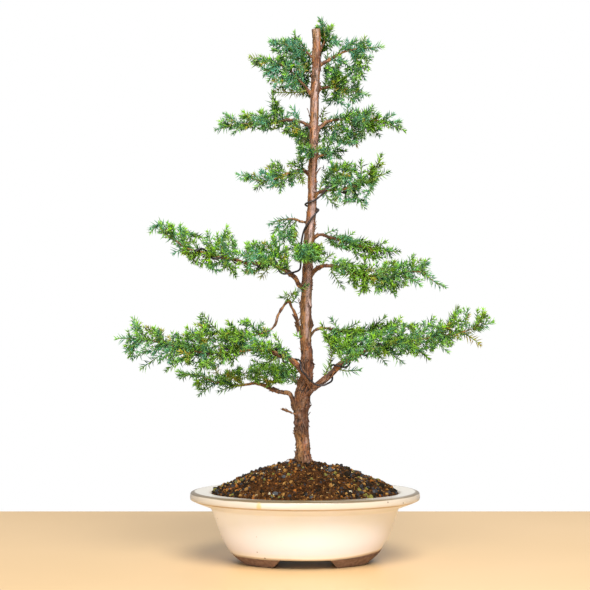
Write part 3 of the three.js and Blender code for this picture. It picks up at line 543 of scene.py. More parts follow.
def addNear(kind, *values, settings=None):
    # a node in the tree that the first node or socket among its values belongs to
    source = next(value for value in values if isinstance(value, (bpy.types.Node, bpy.types.NodeSocket)))
    return addNode(source.id_data, kind, *values, settings=settings)


def addMath(operation, *values):
    return addNear("ShaderNodeMath", *values, settings={"operation": operation})


def times(a, b):
    return addMath("MULTIPLY", a, b)


def plus(a, b):
    return addMath("ADD", a, b)


def addRange(value, fromLow, fromHigh, toLow, toHigh):
    return addNear("ShaderNodeMapRange", value, fromLow, fromHigh, toLow, toHigh)


def addNoise(place, *values):
    return addNear("ShaderNodeTexNoise", place, *values)


def addRandom(tree, *values, **named):
    return addNode(tree, "FunctionNodeRandomValue", *values, **named)


def addRandomVector(tree, low, high, seed):
    return addRandom(tree, low, high, Seed=seed, settings={"data_type": "FLOAT_VECTOR"})


def addNamed(tree, name, kind="FLOAT"):
    return addNode(tree, "GeometryNodeInputNamedAttribute", name, settings={"data_type": kind})


def addTurn(rotation, axis, angle):
    # a rotation that is turned further, about an axis of its own
    turn = addNode(angle.id_data, "FunctionNodeAxisAngleToRotation", axis, angle)
    return addNear("FunctionNodeRotateRotation", rotation, turn, settings={"rotation_space": "LOCAL"})


def addCopies(points, stone, rotation, scale, name, value):
    # a copy at each point, with a value of its own under the name, as an instance
    tree = value.id_data
    placed = addNode(tree, "GeometryNodeInstanceOnPoints", Points=points, Instance=stone, Rotation=rotation,
                     Scale=scale)
    return addNode(tree, "GeometryNodeStoreNamedAttribute", Geometry=placed, Name=name, Value=value,
                   settings={"domain": "INSTANCE"})


def addFinish(shape, material):
    return addNode(shape.id_data, "GeometryNodeSetMaterial", Geometry=shape, Material=material)


def addJoin(*parts):
    whole = parts[0].id_data.nodes.new("GeometryNodeJoinGeometry")
    for part in parts:
        feed(whole.inputs[0], part)
    return whole


def addMix(factor, a, b):
    return addNear("ShaderNodeMix", factor, a, b, settings={"data_type": "RGBA"})


def colour(red, green, blue):
    return (red, green, blue, 1.0)


def newTree(name, kind, inputs, outputs):
    tree = bpy.data.node_groups.new(name, kind)
    for label, socketKind, value in inputs:
        socket = tree.interface.new_socket(label, in_out="INPUT", socket_type="NodeSocket" + socketKind)
        if value is not None:
            socket.default_value = value
    for label, socketKind in outputs:
        tree.interface.new_socket(label, in_out="OUTPUT", socket_type="NodeSocket" + socketKind)
    return tree, tree.nodes.new("NodeGroupInput").outputs, tree.nodes.new("NodeGroupOutput").inputs


def addGrowth(helper, tree, sizes):
    modifier = helper.modifiers.new(tree.name, "NODES")
    modifier.node_group = tree
    sockets = {item.name: item.identifier for item in tree.interface.items_tree}
    for name, value in sizes.items():
        modifier[sockets[name]] = value


# Effects that several finishes share


def makeMottle():
    # a soft patchy mask
    tree, given, result = newTree(
        "mottle", "ShaderNodeTree",
        [("Vector", "Vector", None), ("Scale", "Float", 40), ("Detail", "Float", 3),
         ("Low", "Float", 0.35), ("High", "Float", 0.65)],
        [("Mask", "Float")],
    )
    patches = addNoise(given["Vector"], given["Scale"], given["Detail"])
    ramp = addRange(patches, given["Low"], given["High"], 0.0, 1.0)
    feed(result["Mask"], ramp)
    return tree


def makeSpeckle():
    # small round dots, on a share of the cells
    tree, given, result = newTree(
        "speckle", "ShaderNodeTree",
        [("Vector", "Vector", None), ("Scale", "Float", 200), ("Share", "Float", 0.2),
         ("Size", "Float", 0.25)],
        [("Mask", "Float")],
    )
    cells = addNode(tree, "ShaderNodeTexVoronoi", given["Vector"], given["Scale"])
    pick = addNode(tree, "ShaderNodeSeparateColor", cells.outputs["Color"])
    chosen = addMath("LESS_THAN", pick, given["Share"])
    size = times(given["Size"], plus(pick.outputs[1], 0.4))
    dot = addRange(cells.outputs["Distance"], size, times(size, 0.6), 0.0, 1.0)
    feed(result["Mask"], times(dot, chosen))
    return tree


mottle, speckle = makeMottle(), makeSpeckle()


def addGroup(group, **values):
    node = values["Vector"].id_data.nodes.new("ShaderNodeGroup")
    node.node_tree = group
    for key, value in values.items():
        feed(node.inputs[key], value)
    return node


def addMottle(place, scale, low, high):
    return addGroup(mottle, Vector=place, Scale=scale, Low=low, High=high)


def newFinish(name, viewColour):
    material = bpy.data.materials.new(name)
    material.use_nodes = True
    material.diffuse_color = viewColour
    tree = material.node_tree
    shader = tree.nodes["Principled BSDF"]
    place = addNode(tree, "ShaderNodeTexCoord").outputs["Object"]
    return material, tree, shader, place


def readAttribute(tree, name, output="Fac"):
    return addNode(tree, "ShaderNodeAttribute", settings={"attribute_name": name}).outputs[output]


def paint(shader, value):
    feed(shader.inputs["Base Color"], value)


def addBump(shader, height, strength, distance):
    bump = addNode(shader.id_data, "ShaderNodeBump", Strength=strength, Distance=distance, Height=height)
    feed(shader.inputs["Normal"], bump)


# Needles and green twigs

needleTints = dict(
    deep=colour(0.003, 0.020, 0.001), middle=colour(0.190, 0.382, 0.034), blue=colour(0.080, 0.280, 0.215),
    young=colour(0.290, 0.610, 0.018), dry=colour(0.380, 0.270, 0.035), pale=colour(0.500, 0.820, 0.680),
)


def makeNeedleFinish():
    material, tree, shader, place = newFinish("juniper needle", needleTints["middle"])
    names = ("tone", "fresh", "dry", "wax", "blade", "inner")
    tone, fresh, dry, wax, blade, inner = (readAttribute(tree, name) for name in names)
    patch = addMottle(place, 28, 0.35, 0.6)
    spot = addNode(tree, "ShaderNodeSeparateXYZ", place)
    crown = addRange(spot.outputs["Z"], 0.36, 0.50, 0.0, 1.0)
    # the crown's needles are darker, a painted shade, and bluer than those of the low limbs
    least = addRange(crown, 0.0, 1.0, 0.40, 0.52)
    # and those near the trunk are darker still: painted shade in the crown's depth, where the needles are
    # older too
    away = addNode(tree, "ShaderNodeMapping", place, Location=(-0.006, 0.0, 0.0), Scale=(1.0, 1.0, 0.0))
    away = addNode(tree, "ShaderNodeVectorMath", away, settings={"operation": "LENGTH"}).outputs["Value"]
    ageAndShade = times(crown, addRange(away, 0.052, 0.016, 0.0, 0.25))
    least = plus(least, ageAndShade)
    tone = addRange(tone, least, plus(least, 0.24), 0.0, 1.0)
    base = addMix(tone, needleTints["deep"], needleTints["middle"])
    bluish = times(patch, addRange(wax, 0.1, 0.7, 0.05, 0.75))
    bluish = times(bluish, addRange(spot.outputs["Z"], 0.20, 0.45, 0.8, 1.25))
    base = addMix(bluish, base, needleTints["blue"])
    base = addMix(times(fresh, 0.85), base, needleTints["young"])
    base = addMix(times(dry, 0.8), base, needleTints["dry"])
    # the face towards the twig has pale waxy bands
    band = times(inner, addRange(wax, 0.0, 1.0, 0.35, 0.85))
    base = addMix(band, base, needleTints["pale"])
    tip = times(addMath("POWER", blade, 3.0), 0.25)
    base = addMix(tip, base, needleTints["young"])
    paint(shader, base)
    sheen = addRange(tone, 0.0, 1.0, 0.42, 0.6)
    feed(shader.inputs["Roughness"], sheen)
    shader.inputs["Specular IOR Level"].default_value = 0.05
    grain = addNoise(place, 900.0, 2.0)
    addBump(shader, grain, 0.15, 0.0002)
    return material


def makeTwigFinish():
    material, tree, shader, place = newFinish("green twig", colour(0.12, 0.15, 0.04))
    woody = readAttribute(tree, "woody")
    patch = addMottle(place, 160, 0.4, 0.6)
    brown = addMix(patch, colour(0.16, 0.065, 0.018), colour(0.30, 0.15, 0.040))
    green = addMix(patch, colour(0.07, 0.18, 0.02), colour(0.17, 0.32, 0.05))
    paint(shader, addMix(woody, green, brown))
    shader.inputs["Roughness"].default_value = 0.7
    addBump(shader, addNoise(place, 700.0, 3.0), 0.5, 0.0004)
    return material


# Bark: strips run along the limb, by the way that the wood's own attribute gives

barkTints = dict(
    crack=colour(0.018, 0.007, 0.002), red=colour(0.100, 0.030, 0.016), brown=colour(0.210, 0.082, 0.030),
    grey=colour(0.400, 0.250, 0.185), orange=colour(0.350, 0.115, 0.018), olive=colour(0.240, 0.150, 0.030),
    pale=colour(0.560, 0.430, 0.420), dark=colour(0.050, 0.017, 0.010), tan=colour(0.360, 0.170, 0.045),
    gold=colour(0.290, 0.135, 0.030),
)


def makeBarkFinish():
    material, tree, shader, place = newFinish("flaking bark", barkTints["brown"])
    grain = readAttribute(tree, "grain", "Vector")  # across and along the limb, in centimetres
    stretched = addNode(tree, "ShaderNodeMapping", grain, Scale=(1.0, 1.0, 0.11))
    fibres = addNoise(stretched, 9.0, 5.0, 0.6)
    strips = addNode(tree, "ShaderNodeMapping", grain, Scale=(1.0, 1.0, 0.2))
    strips = addNode(tree, "ShaderNodeTexVoronoi", strips, 4.0)
    shade = addNode(tree, "ShaderNodeSeparateColor", strips.outputs["Color"])
    base = addMix(addMottle(stretched, 5, 0.4, 0.62), barkTints["red"], barkTints["brown"])
    raised = addRange(readAttribute(tree, "plate"), 0.42, 0.68, 0.0, 0.7)
    flaked = addMath("MAXIMUM", times(addMath("GREATER_THAN", shade, 0.7), 0.4), raised)
    base = addMix(flaked, base, barkTints["grey"])
    worn = addMottle(grain, 1.4, 0.50, 0.62)
    base = addMix(times(worn, 0.7), base, barkTints["orange"])
    mossy = addMottle(place, 34, 0.52, 0.66)
    base = addMix(times(mossy, 0.5), base, barkTints["olive"])
    # golden streaks: a painted highlight on the trunk's front-left side, and the dead stub's own colour
    streaked = times(readAttribute(tree, "golden"), addMottle(stretched, 3, 0.36, 0.52))
    base = addMix(times(streaked, 0.85), base, barkTints["gold"])
    # thin limbs are tan with dark lengths between
    thin = readAttribute(tree, "thin")
    tanned = times(thin, addMottle(grain, 2.2, 0.42, 0.55))
    base = addMix(times(tanned, 0.7), base, barkTints["tan"])
    burnt = times(thin, addMottle(grain, 2.3, 0.54, 0.46))
    base = addMix(times(burnt, 0.75), base, barkTints["dark"])
    # the trunk is smooth higher up, with a painted pale highlight on its lit side and painted shade on its
    # flanks, and dark where its lowest limbs leave it
    pale = readAttribute(tree, "pale")
    base = addMix(addRange(pale, 0.0, 1.0, 0.0, 0.75), base, barkTints["pale"])
    base = addMix(addRange(pale, 0.0, -1.2, 0.0, 0.8), base, barkTints["dark"])
    fibrous = addRange(fibres, 0.47, 0.36, 0.0, 1.0)
    crack = addMath("MAXIMUM", fibrous, addRange(readAttribute(tree, "crack"), 0.15, 0.75, 0.0, 1.1))
    loose = times(readAttribute(tree, "loose"), 0.8)
    crack = times(crack, addRange(pale, 0.0, 0.8, 0.95, 0.5))
    crack = addMath("MAXIMUM", crack, loose)
    base = addMix(crack, base, barkTints["crack"])
    paint(shader, base)
    feed(shader.inputs["Roughness"], addRange(pale, 0.0, 1.0, 0.72, 0.40))
    shader.inputs["Specular IOR Level"].default_value = 0.5
    height = plus(fibres, times(shade.outputs[1], 0.35))
    addBump(shader, height, 0.8, 0.0012)
    return material


# Pot: cream glaze that stops short of the bare clay feet


def makePotFinish():
    material, tree, shader, place = newFinish("cream glaze over clay", colour(0.8, 0.7, 0.55))
    spot = addNode(tree, "ShaderNodeSeparateXYZ", place)
    height = spot.outputs["Z"]
    wander = addNoise(place, 25.0, 2.0)
    wavy = plus(height, times(addMath("SUBTRACT", wander, 0.5), 0.002))
    rise = times(addRange(spot.outputs["X"], 0.030, 0.085, 0.0, 1.0), 0.005)
    edge = addMath("SUBTRACT", wavy, rise)  # the glaze stops higher on the right
    glazed = addRange(edge, 0.0098, 0.0106, 0.0, 1.0)
    rim = times(glazed, addRange(edge, 0.0128, 0.0106, 0.0, 0.8))
    outAcross = addMath("POWER", addMath("DIVIDE", spot.outputs["X"], 0.127), 2.0)
    outDeep = addMath("POWER", addMath("DIVIDE", spot.outputs["Y"], 0.1), 2.0)
    out = addMath("SQRT", plus(outAcross, outDeep))  # 1 at the lip's widest
    milk = addMottle(place, 18, 0.3, 0.7)
    cream = addMix(milk, colour(0.79, 0.757, 0.675), colour(0.81, 0.780, 0.76))
    pale = addRange(height, 0.052, 0.018, 0.0, 1.0)
    cream = addMix(pale, cream, colour(0.76, 0.715, 0.73))
    low = addRange(height, 0.018, 0.011, 0.0, 0.5)
    cream = addMix(low, cream, colour(0.88, 0.74, 0.46))
    # the lip's band is more yellow, with a painted brown shadow line along its lower edge, and its top is
    # greyer, with painted shade on its front
    band = addRange(height, 0.0690, 0.0700, 0.0, 0.85)
    cream = addMix(band, cream, colour(0.52, 0.445, 0.345))
    # painted shadow line under the lip's band, brown
    under = times(addRange(height, 0.0670, 0.0680, 0.0, 1.0), addRange(height, 0.0698, 0.0690, 0.0, 0.90))
    cream = addMix(under, cream, colour(0.42, 0.25, 0.07))
    over = addRange(height, 0.0762, 0.0772, 0.0, 1.0)
    cream = addMix(over, cream, colour(0.72, 0.680, 0.61))
    ridge = times(addRange(wavy, 0.0756, 0.0763, 0.0, 1.0), addRange(out, 0.950, 0.966, 0.0, 0.9))
    # painted shade on the front of the lip's top, olive brown
    front = addRange(spot.outputs["Y"], -0.064, -0.082, 0.0, 0.90)
    cream = addMix(times(front, over), cream, colour(0.19, 0.138, 0.050))
    cream = addMix(ridge, cream, colour(0.130, 0.085, 0.034))
    cream = addMix(rim, cream, colour(0.42, 0.26, 0.09))
    specks = addGroup(speckle, Vector=place, Scale=115, Share=0.10, Size=0.13)
    cream = addMix(times(specks, 0.8), cream, colour(0.16, 0.10, 0.06))
    # one run of glaze has stopped at the lip's lower edge
    along = addNode(tree, "ShaderNodeMapping", place, Location=(0.049, 0.0921, -0.0355),
                    Scale=(1.0, 1.0, 0.5))
    run = addNode(tree, "ShaderNodeVectorMath", along, settings={"operation": "LENGTH"}).outputs["Value"]
    cream = addMix(addRange(run, 0.0036, 0.0016, 0.0, 0.8), cream, colour(0.62, 0.40, 0.13))
    clay = addMix(addMottle(place, 260, 0.35, 0.65),
                  colour(0.145, 0.078, 0.050), colour(0.225, 0.132, 0.092))
    paint(shader, addMix(glazed, clay, cream))
    feed(shader.inputs["Roughness"], addRange(glazed, 0.0, 1.0, 0.85, 0.28))
    feed(shader.inputs["Coat Weight"], times(glazed, 0.35))
    shader.inputs["Coat Roughness"].default_value = 0.12
    grit = addNoise(place, 900.0, 3.0)
    soft = addNoise(place, 60.0, 2.0)
    relief = addMix(glazed, grit, soft)
    addBump(shader, relief, 0.35, 0.0005)
    return material


# Soil and its grains


def makeSoilFinish():
    material, _, shader, place = newFinish("peaty fines", colour(0.06, 0.03, 0.015))
    patch = addMottle(place, 300, 0.38, 0.62)
    base = addMix(patch, colour(0.018, 0.007, 0.002), colour(0.080, 0.030, 0.008))
    bits = addGroup(speckle, Vector=place, Scale=420, Share=0.25, Size=0.4)
    paint(shader, addMix(bits, base, colour(0.30, 0.15, 0.04)))
    shader.inputs["Roughness"].default_value = 0.95
    shader.inputs["Specular IOR Level"].default_value = 0.06
    addBump(shader, addNoise(place, 500.0, 4.0), 0.9, 0.002)
    return material


# up to this draw, this colour
grainTones = [
    (0.24, colour(0.010, 0.007, 0.004)), (0.37, colour(0.030, 0.034, 0.042)),
    (0.54, colour(0.055, 0.020, 0.005)), (0.66, colour(0.120, 0.052, 0.014)),
    (0.76, colour(0.360, 0.185, 0.048)), (0.83, colour(0.330, 0.110, 0.016)),
    (0.89, colour(0.080, 0.088, 0.100)), (0.945, colour(0.200, 0.185, 0.040)),
    (0.988, colour(0.500, 0.350, 0.150)), (1.0, colour(0.660, 0.580, 0.400)),
]


def makeGrainFinish():
    material, tree, shader, place = newFinish("soil grains", colour(0.1, 0.06, 0.03))
    # some patches of soil hold more of the dark grains, others more of the tan ones
    drift = addRange(addNoise(place, 45.0, 1.0), 0.36, 0.64, 0.6, 1.9)
    ramp = addNode(tree, "ShaderNodeValToRGB", addMath("POWER", readAttribute(tree, "tone"), drift))
    ramp.color_ramp.interpolation = "CONSTANT"
    stops = ramp.color_ramp.elements
    start = 0.0
    for k, (end, tint) in enumerate(grainTones):
        stop = stops[k] if k < 2 else stops.new(start)
        stop.position, stop.color = start, tint
        start = end
    patch = addMottle(place, 700, 0.3, 0.7)
    paint(shader, addMix(times(patch, 0.6), ramp, colour(0.03, 0.02, 0.012)))
    shader.inputs["Roughness"].default_value = 0.88
    shader.inputs["Specular IOR Level"].default_value = 0.06
    addBump(shader, addNoise(place, 1100.0, 3.0), 0.6, 0.0005)
    return material


# Wire and screens


def makeWireFinish():
    material, _, shader, place = newFinish("brown anodised wire", colour(0.03, 0.025, 0.025))
    patch = addMottle(place, 120, 0.35, 0.7)
    base = addMix(patch, colour(0.020, 0.019, 0.024), colour(0.062, 0.050, 0.050))
    scuffs = addGroup(speckle, Vector=place, Scale=260, Share=0.10, Size=0.3)
    base = addMix(times(scuffs, 0.5), base, colour(0.30, 0.28, 0.27))
    paint(shader, base)
    feed(shader.inputs["Roughness"], addRange(patch, 0.0, 1.0, 0.38, 0.55))
    shader.inputs["Metallic"].default_value = 0.6
    addBump(shader, addNoise(place, 1500.0, 2.0), 0.2, 0.0001)
    return material


def makeScreenFinish():
    material, _, shader, place = newFinish("moulded plastic mesh", colour(0.015, 0.018, 0.015))
    patch = addMottle(place, 90, 0.4, 0.7)
    base = addMix(patch, colour(0.010, 0.012, 0.010), colour(0.040, 0.036, 0.030))
    paint(shader, base)
    feed(shader.inputs["Roughness"], addRange(patch, 0.0, 1.0, 0.45, 0.8))
    addBump(shader, addNoise(place, 800.0, 2.0), 0.3, 0.0002)
    return material


needleFinish, twigFinish, barkFinish = makeNeedleFinish(), makeTwigFinish(), makeBarkFinish()
potFinish, soilFinish, grainFinish = makePotFinish(), makeSoilFinish(), makeGrainFinish()
wireFinish, screenFinish = makeWireFinish(), makeScreenFinish()
print("finishes made")


# Pot

potPlan = dict(
    sides=192,
    # half length, half depth, height, and how far the corner there is rounded
    outline=[
        (40, 30, 10.0, 0), (82, 63, 10.0, 1.6), (91, 69.5, 24, 8), (104, 77.5, 60, 2.2),
        (120.5, 93.5, 66.5, 3), (126.6, 99.6, 69.3, 1.1), (127, 100, 72, 2), (126.4, 99.4, 76.4, 1.5),
        (123, 96, 78, 1.5), (106, 79, 77, 1.6), (103.5, 76.5, 75, 2), (84, 60, 17.3, 5),
        (40, 28, 17.3, 0),
    ],
    footTop=10.6, drainPlaces=(-40, 40),
    # a drain hole's radius and height, from below the feet's inside to above the floor
    drain=[(9.4, 9), (9.4, 9.6), (8, 11.2), (8, 16.4), (9, 17.9), (9, 19)],
)


def rounded(corners, closed=False, steps=5):
    # a run of corners with each one turned into a short arc; the last number of a corner is its reach
    spots = [(np.array(c[:-1], float), c[-1]) for c in corners]
    path = []
    for k, (here, reach) in enumerate(spots):
        if not closed and k in (0, len(spots) - 1) or reach == 0:
            path.append(here)
            continue
        before, after = spots[k - 1][0], spots[(k + 1) % len(spots)][0]
        start = here + unit(before - here) * min(reach, 0.45 * np.linalg.norm(before - here))
        end = here + unit(after - here) * min(reach, 0.45 * np.linalg.norm(after - here))
        for t in np.linspace(0, 1, steps):
            path.append((1 - t) ** 2 * start + 2 * t * (1 - t) * here + t * t * end)
    return np.array(path)


def potRing(a, b, z):
    # one ring of the pot, a little uneven as fired clay is
    ring = []
    for turn in np.linspace(0, 2 * math.pi, potPlan["sides"], endpoint=False):
        x, y = math.cos(turn), math.sin(turn)
        sag = noise.noise(Vector((1.3 * x, 1.3 * y, z / 60)))
        grow = 1 + 0.0025 * min(0, sag - 0.35)
        lift = 0.35 * noise.noise(Vector((1.1 * x + 5, 1.1 * y, 0))) * max(0, min(1, (z - 30) / 40))
        ring.append((a * x * grow, b * y * grow, z + min(0, lift)))
    return np.array(ring)


def footOutline(z, inset):
    # one foot's outline at a height, in the quarter where x and y are positive
    share = z / 10.5
    outA, outB = 73 + 10 * share - inset, 54 + 10 * share - inset
    inA, inB = 58.4 + 3.6 * share + inset, 40.4 + 3.6 * share + inset
    gapX, gapY = 27 + (10 - z) * 8 / 11 + inset, 17 + (10 - z) * 8 / 11 + inset
    arcs = []
    for a, b in ((outA, outB), (inA, inB)):
        turns = np.linspace(math.asin(gapY / b), math.acos(gapX / a), 18)
        arcs.append([(a * math.cos(turn), b * math.sin(turn), 0) for turn in turns])
    corners = arcs[0] + arcs[1][::-1]
    for k in (0, 17, 18, 35):
        corners[k] = (*corners[k][:2], 2.2)
    return np.array([(x, y, z) for x, y in rounded(corners, closed=True)])


def makePot():
    profile = rounded(potPlan["outline"])
    fine = []
    for start, end in zip(profile, profile[1:]):
        count = max(1, round(np.linalg.norm(end - start) / 4))
        fine += [start + (end - start) * k / count for k in range(count)]
    bowl = pieceFrom("bowlShape", *loft([potRing(*row) for row in [*fine, profile[-1]]]), [potFinish])
    faceOut(bowl.data)
    feet = []
    for side, front in ((1, 1), (-1, 1), (-1, -1), (1, -1)):
        rows = [(0, 1.1), (0.25, 0.5), (0.9, 0.1), (2.0, 0), (6.0, 0), (potPlan["footTop"], 0)]
        feet.append(loft([footOutline(z, inset) * (side, front, 1) for z, inset in rows]))
    feetShape = pieceFrom("feetShape", *mergeParts(feet), [potFinish])
    faceOut(feetShape.data)
    drains = []
    for x in potPlan["drainPlaces"]:
        turns = np.linspace(0, 2 * math.pi, 64, endpoint=False)
        drains.append(loft([
            np.stack([x + r * np.cos(turns), r * np.sin(turns), np.full(64, float(z))], 1)
            for r, z in potPlan["drain"]
        ]))
    drainShape = pieceFrom("drainShape", *mergeParts(drains), [potFinish])
    faceOut(drainShape.data)
    for way, tool in (("UNION", feetShape), ("DIFFERENCE", drainShape)):
        cut = bowl.modifiers.new(way.lower(), "BOOLEAN")
        cut.operation, cut.object, cut.solver = way, tool, "EXACT"
    pot = settle(bowl, "pot_fired")
    for tool in (feetShape, drainShape):
        bpy.data.objects.remove(tool)
    shadeSmooth(pot.data, 38)
    return pot


pot = makePot()
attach(pot, "root")
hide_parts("pot")
print("pot made", len(pot.data.polygons))


# Drain screens keep their own shape

for name in ("drain_screen_left", "drain_screen_right"):
    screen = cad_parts[name]
    screen.data.materials.clear()
    screen.data.materials.append(screenFinish)


# Soil: a mound of fines, with grains strewn over it

soilPlan = dict(
    sides=160, under=[(83.6, 59.6, 17.7), (103.0, 76.0, 75.0)], halfLength=102.9, halfDepth=75.9, foot=76.6,
    openFrom=75.5,  # grains lie on the mound above this height
    top=110, roughness=1.9, seed=11, peatPlace=(-12, -48), peatReach=(52, 40),
    # spacing, smallest and largest radius, all in millimetres
    coarse=(5.3, 2.4, 5.2), middling=(3.3, 1.2, 2.1), fine=(2.2, 0.45, 0.9), straws=(8.0, 1.6, 3.0),
)


def moundHeight(share):
    return soilPlan["foot"] + (soilPlan["top"] - soilPlan["foot"]) * (1 - share**1.7)


def makeMound():
    turns = np.linspace(0, 2 * math.pi, soilPlan["sides"], endpoint=False)
    oval = np.stack([np.cos(turns), np.sin(turns)], 1)
    rings = [np.column_stack([oval * (a, b), np.full(len(turns), z)]) for a, b, z in soilPlan["under"]]
    for share in np.linspace(0.995, 0.02, 56):
        ring = np.column_stack(
            [oval * (soilPlan["halfLength"] * share, soilPlan["halfDepth"] * share),
             np.full(len(turns), moundHeight(share))]
        )
        for spot in ring:
            lump = noise.noise(Vector(spot * 0.055)) * 1.6 + noise.noise(Vector(spot * 0.22)) * 0.9
            spot[2] += min(1.0, (1 - share) * 8) * soilPlan["roughness"] * lump - 0.6
        rings.append(ring)
    mound = pieceFrom("moundShape", *loft(rings), [soilFinish, grainFinish])
    faceOut(mound.data)
    points = readPoints(mound.data)
    share = np.hypot(points[:, 0] / mm / soilPlan["halfLength"], points[:, 1] / mm / soilPlan["halfDepth"])
    onTop = (points[:, 2] / mm > soilPlan["openFrom"]) & (share < 0.985)
    addAttribute(mound.data, "open", onTop.astype(float))
    # in front of the trunk the fines lie bare, with few large grains
    away = (points[:, :2] / mm - soilPlan["peatPlace"]) / soilPlan["peatReach"]
    patches = np.array([noise.noise(Vector(spot) * 40) for spot in points])
    grainy = np.clip(np.hypot(away[:, 0], away[:, 1]) - 0.35 + patches, 0.12, 1)
    addAttribute(mound.data, "grainy", grainy)
    return mound


def makeGrainTree():
    sizes = ("Spacing", "Small", "Large")
    kinds = ("Coarse", "Middling", "Fine", "Straw")
    tree, given, result = newTree(
        "strewn grains", "GeometryNodeTree",
        [("Geometry", "Geometry", None),
         *((f"{kind} {size}", "Float", 0.001) for kind in kinds for size in sizes),
         ("Ground", "Material", None), ("Grain", "Material", None), ("Seed", "Int", 1)],
        [("Geometry", "Geometry")],
    )
    block = addNode(tree, "GeometryNodeMeshCube", (1.5, 1.5, 1.5), 2, 2, 2)
    lump = addNode(tree, "GeometryNodeSubdivisionSurface", block, 1)
    chip = addNode(tree, "GeometryNodeMeshCube", (1.7, 1.5, 1.3), 2, 2, 2)
    grit = addNode(tree, "GeometryNodeMeshIcoSphere", 1.0, 1)
    straw = addNode(tree, "GeometryNodeMeshCube", (2.0, 0.22, 0.14), 4, 2, 2)

    def scatter(kind, stone, offset, everywhere):
        spacing, low, high = (given[f"{kind} {size}"] for size in sizes)
        factor = None if everywhere else addNamed(tree, "grainy")
        points = addNode(
            tree, "GeometryNodeDistributePointsOnFaces", Mesh=given["Geometry"], Distance_Min=spacing,
            Density_Max=900000.0, Density_Factor=factor, Seed=plus(given["Seed"], float(offset)),
            Selection=addNamed(tree, "open"), settings={"distribute_method": "POISSON"},
        )
        tilt = 0.5 if kind == "Straw" else 3.1
        turn = addRandomVector(tree, (-tilt, -tilt, -3.1), (tilt, tilt, 3.1), offset + 1)
        spin = addNode(tree, "FunctionNodeEulerToRotation", turn)
        pick = addRandom(tree, 0.0, 1.0, Seed=offset + 2)
        size = addRange(addMath("POWER", pick, 1.6), 0.0, 1.0, low, high)
        stretch = addRandomVector(tree, (0.75, 0.75, 0.6), (1.3, 1.15, 1.0), offset + 3)
        scale = addNode(tree, "ShaderNodeVectorMath", stretch, settings={"operation": "SCALE"}, Scale=size)
        # straws take the pale tones, fines the dark ones, and no large grain is white
        first, last = {"Straw": (0.72, 1.0), "Fine": (0.0, 0.8), "Coarse": (0.0, 0.96)}.get(kind, (0.0, 1.0))
        tone = addRandom(tree, first, last, Seed=offset + 4)
        return addCopies(points.outputs["Points"], stone, spin, scale, "tone", tone)

    strewn = [scatter(kind, stone, 10 + 10 * k, kind in ("Fine", "Straw"))
              for k, (kind, stone) in enumerate(zip(kinds, (lump, grit, chip, straw)))]
    loose = addNode(tree, "GeometryNodeRealizeInstances", addJoin(*strewn))
    place = addNode(tree, "GeometryNodeInputPosition")
    rough = addNoise(place, 320.0, 1.0)
    away = addNode(tree, "ShaderNodeVectorMath", rough.outputs["Color"], (0.5, 0.5, 0.5),
                   settings={"operation": "SUBTRACT"})
    shift = addNode(tree, "ShaderNodeVectorMath", away, settings={"operation": "SCALE"}, Scale=0.0032)
    loose = addNode(tree, "GeometryNodeSetPosition", Geometry=loose, Offset=shift)
    loose = addFinish(loose, given["Grain"])
    ground = addFinish(given["Geometry"], given["Ground"])
    feed(result["Geometry"], addJoin(ground, loose))
    return tree


mound = makeMound()
grainSizes = {
    f"{kind} {size}": value * mm
    for kind, row in (("Coarse", "coarse"), ("Middling", "middling"), ("Fine", "fine"), ("Straw", "straws"))
    for size, value in zip(("Spacing", "Small", "Large"), soilPlan[row])
}
addGrowth(mound, makeGrainTree(), {
    **grainSizes, "Ground": soilFinish, "Grain": grainFinish, "Seed": soilPlan["seed"],
})
soil = settle(mound, "soil_mound", keep=("tone",))
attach(soil, "root")
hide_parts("soil")
print("soil made", len(soil.data.polygons))


# Wood: trunk, limbs and roots as one skin, with bark in flaking strips

